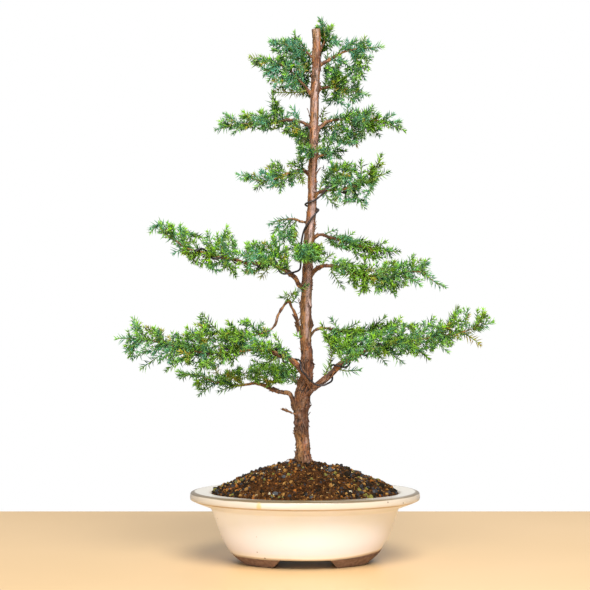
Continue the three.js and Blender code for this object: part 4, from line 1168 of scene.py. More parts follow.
woodPlan = dict(
    skinSize=0.75, relief=1.25, bareTop=586.5, soilLevel=92,
    # limbs thinner than this have a plain tan bark
    thinFrom=3.4,
    trunkRoute=[
        (-2, 0, 62), (-2, 0, 90), (-2, 0, 108), (-2.2, 0, 122), (-3.5, 0.5, 145), (-4.4, 1, 165),
        (-2.6, 0.5, 184), (1.6, 0, 203), (1.7, -0.5, 230), (0.8, -0.5, 251), (1.5, 0, 292),
        (2.2, 0.5, 306), (3.8, 1, 352), (7.8, 0.5, 391), (8, 0, 424), (9.9, -0.5, 464), (10.7, 0, 511),
        (12.6, 0.5, 550), (13, 0.5, 573), (12.2, 0.5, 588),
    ],
    trunkRadii=[6, 8.5, 10.2, 8.2, 7.6, 8.1, 8.6, 7.2, 6.2, 6.2, 6, 6.1, 5.5, 5.2, 5, 5, 4.9, 4.9, 4.4, 5],
    rootTurns=(0.5, 2.1, 3.4, 5.2),
    deadTwig=[(-5, -4, 161), (-13, -6, 164), (-19, -7, 166.5), (-25, -8, 169)],
    rootlet=[(-8, -5, 111.5), (-13, -8, 114), (-19, -10, 113), (-25, -12, 108)],
    # how pale the trunk's bark is, by height: above 0 it is smoother, with a painted pale highlight on its
    # lit side and painted shade on its flanks; below 0 it is dark
    paleHeights=[
        (62, -0.6), (110, -0.5), (120, -0.1), (132, 0.1), (146, -0.8), (176, -0.8), (196, -0.55),
        (222, -0.4), (235, -0.2), (241, -0.9), (247, 0.4), (272, 0.7), (300, 0.65), (325, 0.5),
        (370, 0.9), (425, 0.4), (470, 0.4), (505, 0.7), (540, 0.5), (553, -0.4), (560, 0.2), (575, 0.5),
        (590, 0.6),
    ],
    # rough dark burrs on the trunk's flanks: middle, reach and height
    burrs=[
        ((-8, -2, 283), 2.6, 1.2), ((-8.5, -2, 268), 3.0, 1.3), ((-8, -1, 246), 2.2, 1.0),
        ((-9, -2, 239), 2.4, 1.6), ((7.5, -3, 282), 1.8, 1.2), ((8, -2, 262), 3.4, 1.6),
        ((9.5, -2, 231), 2.2, 1.3), ((9.5, -2, 215), 2.6, 1.0), ((6.5, -2, 171), 3.0, 1.5),
        ((-12.5, -2, 153), 2.2, 1.6), ((-13, -2, 143), 2.2, 1.5), ((-12.5, 0, 126), 2.4, 1.0),
        ((8.5, -2, 118), 2.2, 1.6), ((6, -3, 199), 2.0, 1.0), ((-1.5, -2, 470), 2.4, 1.3),
        ((16, -2, 452), 2.2, 1.2),
    ],
    # the side of the trunk that faces the key light and gets the painted pale highlight
    highlightSide=(0.28, -0.96),
    # the side that gets a painted golden highlight, and how strong it is at what height
    goldHighlightSide=(-0.85, -0.53),
    goldHeights=[
        (80, 0.9), (138, 0.9), (150, 0.2), (190, 0.5), (235, 0.2), (255, 0.6), (285, 0.9), (300, 1.0),
        (312, 0.2), (330, 0.5), (395, 0.3), (440, 0.9), (480, 0.4), (540, 0.3),
    ],
    stub=(-13, 173),  # nothing but the dead stub lies lower and further left
    # places where a limb was cut or has died: middle and reach
    scars=[
        ((-7.5, -5.5, 156), 4.6), ((-1, -8, 212), 4.2), ((3.5, -6.5, 189), 3.6), ((13, -4.6, 580), 1.8),
        ((11, -5, 536), 3.0), ((-9.5, -3, 140), 3.0), ((7, -6, 240), 3.4),
    ],
)

trunkLine = Line(woodPlan["trunkRoute"])
trunkHeights = [p[2] for p in woodPlan["trunkRoute"]]


def trunkRadius(share):
    heights = np.interp(share, trunkLine.run / trunkLine.length, trunkHeights)
    return np.interp(heights, trunkHeights, woodPlan["trunkRadii"])


def woodLines():
    # each length of wood as (line, radius by share of the line)
    rows = [(trunkLine, trunkRadius)]
    for limb in limbPlan.values():
        bare = Line(limb["line"].part(0, limb["wood"], 1.5))
        rows.append((bare, lambda share, limb=limb: limbRadius(limb, share * limb["wood"])))
    for k, turn in enumerate(woodPlan["rootTurns"]):
        reach = [(3, 113), (9, 109.5 - k / 2), (17, 102), (23, 92)]
        route = [(out * math.cos(turn) - 2, out * math.sin(turn), z) for out, z in reach]
        rows.append((Line(smoothRoute(route)), lambda share: 3.6 - 1.8 * share))
    rows.append((Line(smoothRoute(woodPlan["deadTwig"])), lambda share: 1.0 + 0.7 * share**3))
    rows.append((Line(smoothRoute(woodPlan["rootlet"])), lambda share: 0.9 - 0.35 * share))
    return rows


woodRows = woodLines()


def woodTube(line, radiusAt, step=1.5):
    count = max(4, math.ceil(line.length / step))
    shares = np.linspace(0, 1, count)
    points = line.at(shares)
    turns = np.linspace(0, 2 * math.pi, 28 if radiusAt(0) > 4 else 16, endpoint=False)
    rings = []
    for share, spot, (across, up) in zip(shares, points, ringFrames(points)):
        circle = np.cos(turns)[:, None] * across + np.sin(turns)[:, None] * up
        rings.append(spot + circle * radiusAt(share))
    return loft(rings)


def woodSkin():
    parts = [woodTube(line, radiusAt) for line, radiusAt in woodRows]
    skin = pieceFrom("woodShape", *mergeParts(parts), [barkFinish])
    faceOut(skin.data)
    remesh = skin.modifiers.new("skin", "REMESH")
    remesh.mode, remesh.voxel_size = "VOXEL", woodPlan["skinSize"] * mm
    soften = skin.modifiers.new("soften", "SMOOTH")
    soften.factor, soften.iterations = 0.5, 3
    return settle(skin, "bark_wood")


def nearestWood(points):
    # for each point: the limb's radius there, how far along it lies, its way, and the spot inside
    samples = []
    for line, radiusAt in woodRows:
        shares = np.linspace(0, 1, max(4, math.ceil(line.length / 1.5)))
        spots = line.at(shares)
        ways = np.gradient(spots, axis=0)
        ways /= np.linalg.norm(ways, axis=1)[:, None]
        offset = 40 * len(samples)
        radii = np.array([float(radiusAt(share)) for share in shares])
        samples.append(np.column_stack([spots, radii, shares * line.length + offset, ways]))
    samples = np.vstack(samples)
    best = []
    for block in np.array_split(points, max(1, len(points) // 4000)):
        away = np.linalg.norm(block[:, None, :] - samples[None, :, :3], axis=2) - samples[None, :, 3]
        best.append(samples[np.argmin(away, axis=1)])
    return np.vstack(best)


def reliefAt(q, radius):
    # how far the bark stands out, how deep in a crack it is and its plate's number; q runs across and
    # along the limb
    thick = min(1.0, 0.2 + radius / 8)
    length = q[2]
    turn = 0.016 * length + 0.9 * noise.noise(Vector((3.0, 8.0, length * 0.025)))
    x, y = q[0] * math.cos(turn) - q[1] * math.sin(turn), q[0] * math.sin(turn) + q[1] * math.cos(turn)
    strips = noise.noise(Vector((x * 0.62, y * 0.62, length * 0.04)))
    sway = 0.5 * noise.noise(Vector((x * 0.25, y * 0.25, length * 0.12)))
    crack = max(0, 1 - abs(noise.noise(Vector((x * 0.42 + 7 + sway, y * 0.42, length * 0.055)))) / 0.11)
    plates = noise.cell(Vector((x * 0.36 + strips, y * 0.36 + sway, length * 0.085 + 1.3 * strips)))
    fine = noise.noise(Vector((q[0] * 1.5, q[1] * 1.5, length * 0.45)))
    knots = max(0, noise.noise(Vector((q[0] * 0.12, q[1] * 0.12, length * 0.06))) - 0.15)
    lumps = 0.4 * max(0.0, 3.4 - radius) * noise.noise(Vector((q[0] * 0.2, q[1] * 0.2, length * 0.21)))
    lift = thick * (0.5 * strips + 0.75 * (plates - 0.45) + 0.32 * fine + 1.3 * knots - 0.8 * crack)
    return lift + lumps, crack, plates


def makeWood():
    wood = woodSkin()
    points = readPoints(wood.data) / mm
    normals = readNormals(wood.data)
    near = nearestWood(points)
    ways = near[:, 5:8]
    out = points - near[:, :3]
    out -= ways * np.sum(out * ways, axis=1)[:, None]
    out /= np.maximum(1e-6, np.linalg.norm(out, axis=1))[:, None]
    radius = near[:, 3]
    isThick = np.clip((radius - woodPlan["thinFrom"]) / 0.9, 0, 1)
    # out is turned into the limb's own directions, so that the strips follow the limb
    flat = np.cross(ways, (0.0, 1.0, 0.0))
    flat /= np.maximum(1e-6, np.linalg.norm(flat, axis=1))[:, None]
    up = np.cross(flat, ways)
    across, above = (np.sum(out * side, axis=1) * radius for side in (flat, up))
    grain = np.column_stack([across, above, near[:, 4]])
    pale = np.interp(points[:, 2], *np.array(woodPlan["paleHeights"]).T) * isThick
    smooth = 1 - 0.85 * np.clip(pale, 0, 1)
    # the side facing the key light gets a painted pale highlight, and the flanks away from it painted shade
    facing = np.clip(normals[:, :2] @ woodPlan["highlightSide"], 0, 1) ** 8
    pale = np.where(pale > 0, pale * (1.35 * facing - 0.35), pale)
    stub = (points[:, 0] < woodPlan["stub"][0]) & (points[:, 2] < woodPlan["stub"][1])
    pale[stub] = -0.9
    # a painted golden highlight on the trunk's front-left side, by height; the dead stub is golden all over,
    # its own colour
    golden = np.interp(points[:, 2], *np.array(woodPlan["goldHeights"]).T)
    golden *= np.clip(normals[:, :2] @ woodPlan["goldHighlightSide"] * 1.6 - 0.3, 0, 1) * isThick
    golden[stub] = 1
    addAttribute(wood.data, "golden", golden)
    lifts, cracks, plates = np.array([reliefAt(q, r) for q, r in zip(grain, radius)]).T
    lifts *= smooth * woodPlan["relief"]
    cracks *= smooth
    for middle, reach in woodPlan["scars"]:
        away = np.linalg.norm((points - middle) * (1, 1, 0.7), axis=1) / reach
        lifts += 0.9 * np.exp(-(((away - 0.85) / 0.22) ** 2)) - 0.7 * np.clip(1.2 - away / 0.5, 0, 1)
        cracks = np.maximum(cracks, 0.7 * np.clip(1.5 - away / 0.45, 0, 1))
    for middle, reach, height in woodPlan["burrs"]:
        bulge = np.exp(-((np.linalg.norm((points - middle) * (1, 0.7, 0.8), axis=1) / reach) ** 2))
        lifts += height * bulge * (0.8 + 1.4 * plates)
        pale -= 2.8 * bulge
    lifts[points[:, 2] > woodPlan["bareTop"]] *= 0.3
    buried = np.clip((points[:, 2] - woodPlan["soilLevel"]) / 8, 0, 1)
    writePoints(wood.data, (points + normals * (lifts * buried)[:, None]) * mm)
    addAttribute(wood.data, "grain", grain * 0.1)
    addAttribute(wood.data, "limbWay", ways)
    addAttribute(wood.data, "crack", cracks * np.clip(radius / 4, 0.5, 1))
    addAttribute(wood.data, "plate", plates)
    addAttribute(wood.data, "pale", pale)
    addAttribute(wood.data, "thin", np.clip(4.0 - radius, 0, 1) * ~stub)
    flakes = np.clip(1.2 - pale, 0.3, 1.4) * ((points[:, 2] > 108) & (points[:, 2] < 583))
    addAttribute(wood.data, "flakes", flakes)
    shadeSmooth(wood.data)
    return wood


wood = makeWood()
print("wood made", len(wood.data.polygons))


# Strips of bark that have come loose at one end

flakePlan = dict(
    seed=3,
    # name, number on a square metre, then length, width, thickness and lift of the loose end in metres
    kinds=[("bark_flakes", 46000.0, 0.0046, 0.0016, 0.0004, 0.0013),
           ("bark_curls", 12000.0, 0.0095, 0.0026, 0.0006, 0.0034)],
)


def makeFlakeTree():
    tree, given, result = newTree(
        "loose bark", "GeometryNodeTree",
        [("Geometry", "Geometry", None), ("Density", "Float", 9000.0),
         ("Length", "Float", 0.008), ("Width", "Float", 0.0018),
         ("Thickness", "Float", 0.0004), ("Lift", "Float", 0.0015),
         ("Material", "Material", None), ("Seed", "Int", 1)],
        [("Geometry", "Geometry")],
    )
    # one strip, along Z and lifting towards X
    blank = addNode(tree, "GeometryNodeMeshCube", (1.0, 1.0, 1.0), 2, 3, 7)
    spot = addNode(tree, "ShaderNodeSeparateXYZ", addNode(tree, "GeometryNodeInputPosition"))
    rise = addMath("POWER", plus(spot.outputs["Z"], 0.5), 2.0)
    curl = plus(times(spot.outputs["X"], given["Thickness"]), times(rise, given["Lift"]))
    hollow = times(addMath("POWER", spot.outputs["Y"], 2.0), -0.0012)
    narrow = addMath("SUBTRACT", 1.0, times(rise, 0.55))
    across = times(times(spot.outputs["Y"], given["Width"]), narrow)
    along = times(spot.outputs["Z"], given["Length"])
    place = addNode(tree, "ShaderNodeCombineXYZ", plus(curl, hollow), across, along)
    strip = addNode(tree, "GeometryNodeSetPosition", Geometry=blank, Position=place)
    # they come in patches
    patch = addNoise(addNode(tree, "GeometryNodeInputPosition"), 55.0, 1.0)
    patchy = addRange(patch, 0.48, 0.62, 0.0, 1.0)
    density = times(times(given["Density"], addNamed(tree, "flakes")), patchy)
    points = addNode(tree, "GeometryNodeDistributePointsOnFaces", Mesh=given["Geometry"], Density=density,
                     Seed=given["Seed"])
    way = addNamed(tree, "limbWay", "FLOAT_VECTOR")
    face = addNode(tree, "FunctionNodeAxesToRotation", way, points.outputs["Normal"],
                   settings={"primary_axis": "Z", "secondary_axis": "X"})
    flip = times(addRandom(tree, 0, 1, Seed=5, settings={"data_type": "INT"}), math.pi)
    sway = addRandom(tree, -0.3, 0.3, Seed=6)
    turned = addTurn(face, (1.0, 0.0, 0.0), plus(flip, sway))
    size = addRandomVector(tree, (0.3, 0.5, 0.35), (1.3, 1.5, 1.6), 7)
    shade = addRandom(tree, 0.15, 1.0, Seed=8)
    placed = addCopies(points.outputs["Points"], strip, turned, size, "loose", shade)
    loose = addNode(tree, "GeometryNodeRealizeInstances", placed)
    feed(result["Geometry"], addFinish(loose, given["Material"]))
    return tree


flakeTree = makeFlakeTree()
barkPieces = [wood]
for number, (name, density, *sizes) in enumerate(flakePlan["kinds"]):
    helper = addObject("flakeShape", wood.data.copy())
    addGrowth(helper, flakeTree, {
        "Density": density, **dict(zip(("Length", "Width", "Thickness", "Lift"), sizes)),
        "Material": barkFinish, "Seed": flakePlan["seed"] + number,
    })
    barkPieces.append(settle(helper, name, keep=("grain", "pale", "plate", "thin", "golden", "loose")))
for piece in barkPieces:
    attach(piece, "root")
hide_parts("wood")
print("loose bark made", [len(piece.data.polygons) for piece in barkPieces[1:]])


# Training wires: each one is wound along two limbs and past the trunk between them

wirePlan = dict(radius=1.05, clear=0.3, reach=1.1, pitch=27, perTurn=6, sides=14)


def wrapWire(name, start, end, startTurn):
    # points round a limb; turn 0 is above it, and a quarter turn on is in front
    limb, perTurn = limbPlan[name], wirePlan["perTurn"]
    line = limb["line"]
    count = round(abs(end - start) * line.length * perTurn / wirePlan["pitch"])
    path = []
    for k in range(count + 1):
        share = start + (end - start) * k / count
        way = line.heading(share)
        front = unit(np.cross(way, (0, 0, 1)))
        front *= -np.sign(front[1]) or 1
        up = unit(np.cross(front, way))
        up *= np.sign(up[2]) or 1
        turn = startTurn + 2 * math.pi * k / perTurn
        reach = limbRadius(limb, share) * 1.07 + wirePlan["clear"] + wirePlan["reach"]
        reach /= math.cos(math.pi / perTurn)
        path.append(line.at(share) + reach * (math.cos(turn) * up + math.sin(turn) * front))
    return path


def wireRoundTrunk(pairs):
    path = []
    xs, ys, heights = zip(*woodPlan["trunkRoute"])
    for degrees, z in pairs:
        x, y, radius = (np.interp(z, heights, column) for column in (xs, ys, woodPlan["trunkRadii"]))
        reach = radius * 1.08 + wirePlan["clear"] + wirePlan["reach"] + 0.5
        turn = math.radians(degrees)
        path.append(np.array([x + reach * math.cos(turn), y + reach * math.sin(turn), z]))
    return path


wirePaths = {
    "wire_low": [
        *wrapWire("left_main", 0.8, 0.17, 2.1),
        *np.array([(-4, -20.5, 212), (1, -19.5, 206), (6, -15.5, 200), (13, -13.5, 195.5),
                   (20, -12.5, 195)], float),
        *wrapWire("right_low", 0.17, 0.8, 2.6),
    ],
    "wire_mid": [
        *wrapWire("right_upper", 0.78, 0.22, 4.2),
        *wireRoundTrunk([
            (-65, 398.5), (-120, 396), (-180, 394), (-240, 392), (-300, 390), (-360, 388), (-410, 384),
            (-450, 377), (-500, 366), (-530, 352), (-545, 336), (-540, 323),
        ]),
        *wrapWire("left_mid", 0.13, 0.78, 0.6),
    ],
}


def makeRodTree():
    tree, given, result = newTree(
        "round wire", "GeometryNodeTree",
        [("Geometry", "Geometry", None), ("Radius", "Float", 0.001),
         ("Sides", "Int", 12), ("Material", "Material", None)],
        [("Geometry", "Geometry")],
    )
    run = addNode(tree, "GeometryNodeMeshToCurve", given["Geometry"])
    section = addNode(tree, "GeometryNodeCurvePrimitiveCircle", given["Sides"], Radius=given["Radius"])
    rod = addNode(tree, "GeometryNodeCurveToMesh", Curve=run, Profile_Curve=section, Fill_Caps=True)
    loose = addNode(tree, "GeometryNodeRealizeInstances", rod)
    feed(result["Geometry"], addFinish(loose, given["Material"]))
    return tree


def runShape(name, runs, attributes=()):
    # loose runs of points as a mesh of edges, with a value per point for each attribute
    mesh = bpy.data.meshes.new(name)
    points = np.vstack([run["points"] for run in runs]) * mm
    edges, start = [], 0
    for run in runs:
        edges += [(k, k + 1) for k in range(start, start + len(run["points"]) - 1)]
        start += len(run["points"])
    mesh.from_pydata(points.tolist(), edges, [])
    for attribute in attributes:
        addAttribute(mesh, attribute, np.concatenate([run[attribute] for run in runs]))
    return addObject(name, mesh)


rodTree = makeRodTree()
for name, path in wirePaths.items():
    helper = runShape(name + "Run", [dict(points=smoothRoute(path, 6))])
    addGrowth(helper, rodTree,
              {"Radius": wirePlan["radius"] * mm, "Sides": wirePlan["sides"], "Material": wireFinish})
    wire = settle(helper, name + "_wound")
    shadeSmooth(wire.data, 50)
    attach(wire, "root")
    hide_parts(name)
    print("wire made", name, len(wire.data.polygons))


# Foliage: every shoot is a green twig with whorls of needles, and carries small buds

foliagePlan = dict(
    seed=4, sideThick=(0.85, 0.45), fillThick=(0.5, 0.32), budThick=(0.42, 0.3),
    sproutThick=(0.45, 0.32), clearance=1.2,
    # how far from the limb's middle its green reaches at least, and room beside and behind the trunk
    leastHalf=18, trunkRoom=12, behindTrunk=6,
    # what it costs a fill shoot to turn or to be too short, and the dearest that is still made
    turnCost=7, shortCost=99, mostCost=60,
    whorlStep=2.8, needleLength=9.8, needleWidth=1.35, lean=54, leanSpread=18,
    budStep=6.5, budLong=7.6, budLean=44, bareTip=4.5, edgeRoom=1.5,
    fillStep=7.2, fillSpread=17, fillNear=4.2, fillLong=26, greenRoom=3.0, endGaps=0.7,
    # how full each limb's green is
    fullness=dict(left_low=0.68, left_mid_back=0.45, back_low=0.12, right_upper=0.54, left_upper=0.52,
                  right_low=0.92, left_main=0.82, crown_left=0.95),
    full=0.68,
    # lone sprouts: root and tip
    sprouts=[
        ((-18.3, 7, 288.5), (-12, -5, 296)), ((-12, -5, 296), (1, -12, 304)),
        ((-18.5, 8, 288.5), (-26, 5, 291)), ((-18.5, 7, 288.5), (-21, 2, 295)),
        ((-4.5, -3, 247), (-10, -9, 250)),
    ],
)


def makeNeedle():
    # one needle along Z, of unit length and width, whose face towards the twig is pale
    turns = (math.pi / 3, math.pi, 5 * math.pi / 3)
    middle = [(0.5 * math.cos(turn) - 0.15, 0.5 * math.sin(turn), 0.36) for turn in turns]
    vertices = [(0, 0, 0), *middle, (0.25, 0, 1)]
    faces = []
    for i, j in ((1, 2), (2, 3), (3, 1)):
        faces += [(0, j, i), (i, j, 4)]
    needle = pieceFrom("needleShape", vertices, faces, [needleFinish], unitSize=1.0)
    addAttribute(needle.data, "blade", [v[2] for v in vertices])
    inner = needle.data.attributes.new("inner", "FLOAT", "FACE")
    for face, side in zip(needle.data.polygons, inner.data):
        side.value = 1.0 if face.normal.x < -0.5 else 0.0
    return needle


def makeShootTree():
    tree, given, result = newTree(
        "needled shoots", "GeometryNodeTree",
        [("Geometry", "Geometry", None), ("Needle", "Object", None),
         ("Whorl Step", "Float", 0.0023), ("Needle Length", "Float", 0.007),
         ("Needle Width", "Float", 0.001), ("Lean", "Float", 0.9),
         ("Lean Spread", "Float", 0.2), ("Twig Material", "Material", None),
         ("Needle Material", "Material", None), ("Seed", "Int", 1)],
        [("Geometry", "Geometry")],
    )

    def random(low, high, offset):
        return addRandom(tree, low, high, Seed=plus(given["Seed"], float(offset)))

    runs = addNode(tree, "GeometryNodeMeshToCurve", given["Geometry"])
    section = addNode(tree, "GeometryNodeCurvePrimitiveCircle", 5, Radius=1.0)
    stems = addNode(tree, "GeometryNodeCurveToMesh", Curve=runs, Profile_Curve=section,
                    Scale=addNamed(tree, "thick"), Fill_Caps=True)
    stems = addFinish(stems, given["Twig Material"])
    points = addNode(tree, "GeometryNodeCurveToPoints", Curve=runs, Length=given["Whorl Step"],
                     settings={"mode": "LENGTH"})
    numbered = addNode(tree, "GeometryNodeStoreNamedAttribute", Geometry=points.outputs["Points"],
                       Name="whorl", Value=addNode(tree, "GeometryNodeInputIndex"),
                       settings={"data_type": "INT"})
    weak = addMath("LESS_THAN", addNamed(tree, "vigour"), 0.05)
    kept = addNode(tree, "GeometryNodeDeleteGeometry", Geometry=numbered, Selection=weak,
                   settings={"domain": "POINT"})
    amount = plus(3.0, addMath("ROUND", times(addNamed(tree, "tight"), 1.2)))
    copies = addNode(tree, "GeometryNodeDuplicateElements", Geometry=kept, Amount=amount,
                     settings={"domain": "POINT"})
    whorl = addNamed(tree, "whorl", "INT")
    turn = times(copies.outputs["Duplicate Index"], addMath("DIVIDE", 2 * math.pi, amount))
    turn = plus(turn, times(whorl, math.pi / 3))
    turn = plus(turn, random(-0.35, 0.35, 1))
    lean = times(given["Lean"], addMath("SUBTRACT", 1.0, times(addNamed(tree, "tight"), 0.5)))
    lean = plus(lean, times(random(-1.0, 1.0, 2), given["Lean Spread"]))
    spun = addTurn(points.outputs["Rotation"], (0.0, 0.0, 1.0), turn)
    leant = addTurn(spun, (0.0, 1.0, 0.0), lean)
    length = times(given["Needle Length"], times(addNamed(tree, "vigour"), random(0.68, 1.15, 3)))
    width = times(given["Needle Width"], random(0.8, 1.15, 4))
    size = addNode(tree, "ShaderNodeCombineXYZ", width, width, length)
    needle = addNode(tree, "GeometryNodeObjectInfo", given["Needle"])
    placed = addCopies(copies, needle.outputs["Geometry"], leant, size, "tone", random(0.0, 1.0, 5))
    loose = addNode(tree, "GeometryNodeRealizeInstances", placed)
    loose = addFinish(loose, given["Needle Material"])
    feed(result["Geometry"], addJoin(stems, loose))
    return tree


# what twigs keep clear of: the bare wood and the wires
solidSpots = [line.part(0, 1, 4) for line, radiusAt in woodRows]
solidRadii = [radiusAt(np.linspace(0, 1, len(spots))) * np.ones(len(spots))
              for spots, (line, radiusAt) in zip(solidSpots, woodRows)]
for path in wirePaths.values():
    solidSpots.append(smoothRoute(path, 2))
    solidRadii.append(np.full(len(solidSpots[-1]), wirePlan["radius"]))
solidSpots, solidRadii = np.vstack(solidSpots), np.concatenate(solidRadii)
edgeLow = np.array(cadBox[0]) / mm + foliagePlan["edgeRoom"]
edgeHigh = np.array(cadBox[1]) / mm - foliagePlan["edgeRoom"]


def clearOfWood(points):
    away = np.linalg.norm(points[:, None, :] - solidSpots[None], axis=2) - solidRadii[None]
    return away.min() > foliagePlan["clearance"]


def greenEdges(name, x):
    rows = greenPlan[name]
    return (float(np.interp(x, [row[0] for row in rows], [row[n] for row in rows])) for n in (1, 2))


def midOf(rows):
    return (rows[:, 0].min() + rows[:, 0].max()) / 2


def halfOf(rows):
    return max(foliagePlan["leastHalf"], np.ptp(rows[:, 0]) / 2)


def insideGreen(points, room):
    # whether the points lie within some limb's green, as seen from the front
    inside = np.zeros(len(points), bool)
    for rows in greenRows.values():
        low, high = (np.interp(points[:, 0], rows[:, 0], rows[:, n]) for n in (1, 2))
        across = np.abs(points[:, 0] - midOf(rows)) <= halfOf(rows) - room
        inside |= across & (points[:, 2] > low + room) & (points[:, 2] < high - room)
    return inside


greenRows = {name: np.array(rows, float) for name, rows in greenPlan.items()}


def addShoot(runs, line, thick, order, draw):
    # order 0 is a leafy stem, 1 a side shoot, 2 a shoot that fills, 3 a bud
    plan = foliagePlan
    end = 1 - plan["bareTip"] / line.length if order < 2 else 1
    shares = np.linspace(0, end, max(3, math.ceil(line.length / 2.5)))
    points = line.at(shares)
    outside = ~np.all((points > edgeLow) & (points < edgeHigh), axis=1)
    if outside.any():
        shares = np.linspace(0, shares[max(1, int(np.argmax(outside)) - 1)], len(shares))
        points = line.at(shares)
    line = Line(points)
    left = line.length - line.run  # to the tip
    sunny = max(0.2, min(1, 0.55 + line.heading(0.7)[2]))
    runs.append(dict(
        points=points, thick=np.linspace(*thick, len(points)) * mm,
        vigour=(np.clip(0.62 + line.run / 12, 0, 1) * (1 - 0.4 * np.clip(1 - left / 6, 0, 1))
                * (1, 1, 1, 0.85)[order]),
        fresh=(np.clip(1.1 - left / draw.uniform(3, 6), 0, 1) * sunny
               * max(0.1, min(1, draw.uniform(-0.5, 1.2)))),
        tight=np.clip(1.25 - left / 5.5, 0, 1), dry=np.full(len(points), draw.random() ** 14),
        woody=(1.0, 0.35, 0.05, 0.0)[order] * np.clip(left / 25, 0.2, 1),
        wax=np.full(len(points), draw.random()),
    ))
    if order == 0:
        runs[-1]["vigour"] = runs[-1]["vigour"] * (line.run > 6)
    if order == 3:
        return
    spin = draw.uniform(0, 2 * math.pi)
    place = plan["budStep"] * draw.uniform(0.6, 1.0)
    while place < line.length - 3:
        share = place / line.length
        root, way = line.at(share), line.heading(share)
        flat = unit(np.cross(way, (0, 0, 1))) if abs(way[2]) < 0.95 else np.array([1.0, 0, 0])
        spin += 2.4 + draw.uniform(-0.4, 0.4)
        side = math.cos(spin) * flat + math.sin(spin) * np.cross(flat, way)
        lean = math.radians(plan["budLean"] + draw.uniform(-9, 9))
        ahead = unit(way * math.cos(lean) + side * math.sin(lean))
        reach = plan["budLong"] * draw.uniform(0.7, 1.15)
        tip = root + reach * unit(0.7 * ahead + 0.3 * way)
        bud = Line([root, root + 0.5 * reach * ahead, tip])
        if clearOfWood(bud.points[1:]) and insideGreen(bud.points[2:], 2.5)[0]:
            addShoot(runs, bud, plan["budThick"], 3, draw)
        place += plan["budStep"] * draw.uniform(0.8, 1.2)


def sideRoute(owner, tip, share, onWood=None, bow=0):
    # a side shoot from its place on the stem to its tip; on bare wood it starts that far out
    tip = np.array(tip, float)
    centre, way = owner.at(share), owner.heading(share)
    away = tip - centre
    outward = unit(away - way * away.dot(way))
    if onWood is not None:
        root, heading = centre + outward * onWood, outward
    else:
        root, heading = centre, unit(unit(away) * 0.65 + way * 0.35)
    bend = root + heading * 0.3 * np.linalg.norm(away)
    bend = bend + 0.4 * (root + 0.45 * (tip - root) - bend) + np.array([bow, 0, 0])
    return Line(arcRoute(root, heading, bend, tip))


def stemOf(limb):
    # the leafy stem, from the end of the bare wood on through the rest of the route to its tip
    line, wood = limb["line"], limb["wood"]
    onward = [line.at(wood + (1 - wood) * share) for share in (0, 0.2, 0.4, 0.6, 0.8, 1)]
    return Line(smoothRoute([*onward, limb["tip"]]))


def greenGoals(name, limb, stem, draw):
    # spots through the depth of the limb's green, for shoots to reach
    plan, rows = foliagePlan, greenRows[name]
    whole = Line(np.vstack([limb["line"].part(0.1, limb["wood"], 2), stem.points[1:]]))
    reach = halfOf(rows)
    goals = []
    steps = round(whole.length / plan["fillStep"])
    for k in range(steps):
        for side in (-1, 0, 1):
            share = (k + draw.random()) / steps
            flat = unit(np.cross(whole.heading(share), (0, 0, 1)))
            out = draw.uniform(0.35, 1.0) if side else draw.uniform(0, 0.35)
            spot = whole.at(share) + flat * (side or 1) * out * plan["fillSpread"] * (1.15 - 0.55 * share)
            if abs(spot[0] - whole.points[0][0]) < plan["trunkRoom"] and not name.startswith("front"):
                spot[1] = abs(spot[1]) + plan["behindTrunk"]
            ahead = max(0, share - 0.6) / 0.4
            fullness = plan["fullness"].get(name, plan["full"])
            outside = abs(spot[0] - midOf(rows)) > reach - 6
            if outside or draw.random() > fullness * (1 - plan["endGaps"] * ahead):
                continue
            low, high = greenEdges(name, spot[0])
            middle, half = (low + high) / 2, max(1.0, (high - low) / 2 - plan["greenRoom"])
            half *= math.sqrt(1 - 0.45 * out**2)
            levels = max(2, round(2 * half / plan["fillStep"]) + 1)
            for level in range(levels):
                rise = (2 * level + draw.uniform(-0.7, 0.7)) / (levels - 1) - 1
                height = middle + half * max(-1, min(1, rise))
                goals.append((spot[0] + draw.uniform(-2, 2), spot[1] + draw.uniform(-3, 3), height))
    return np.array(goals)


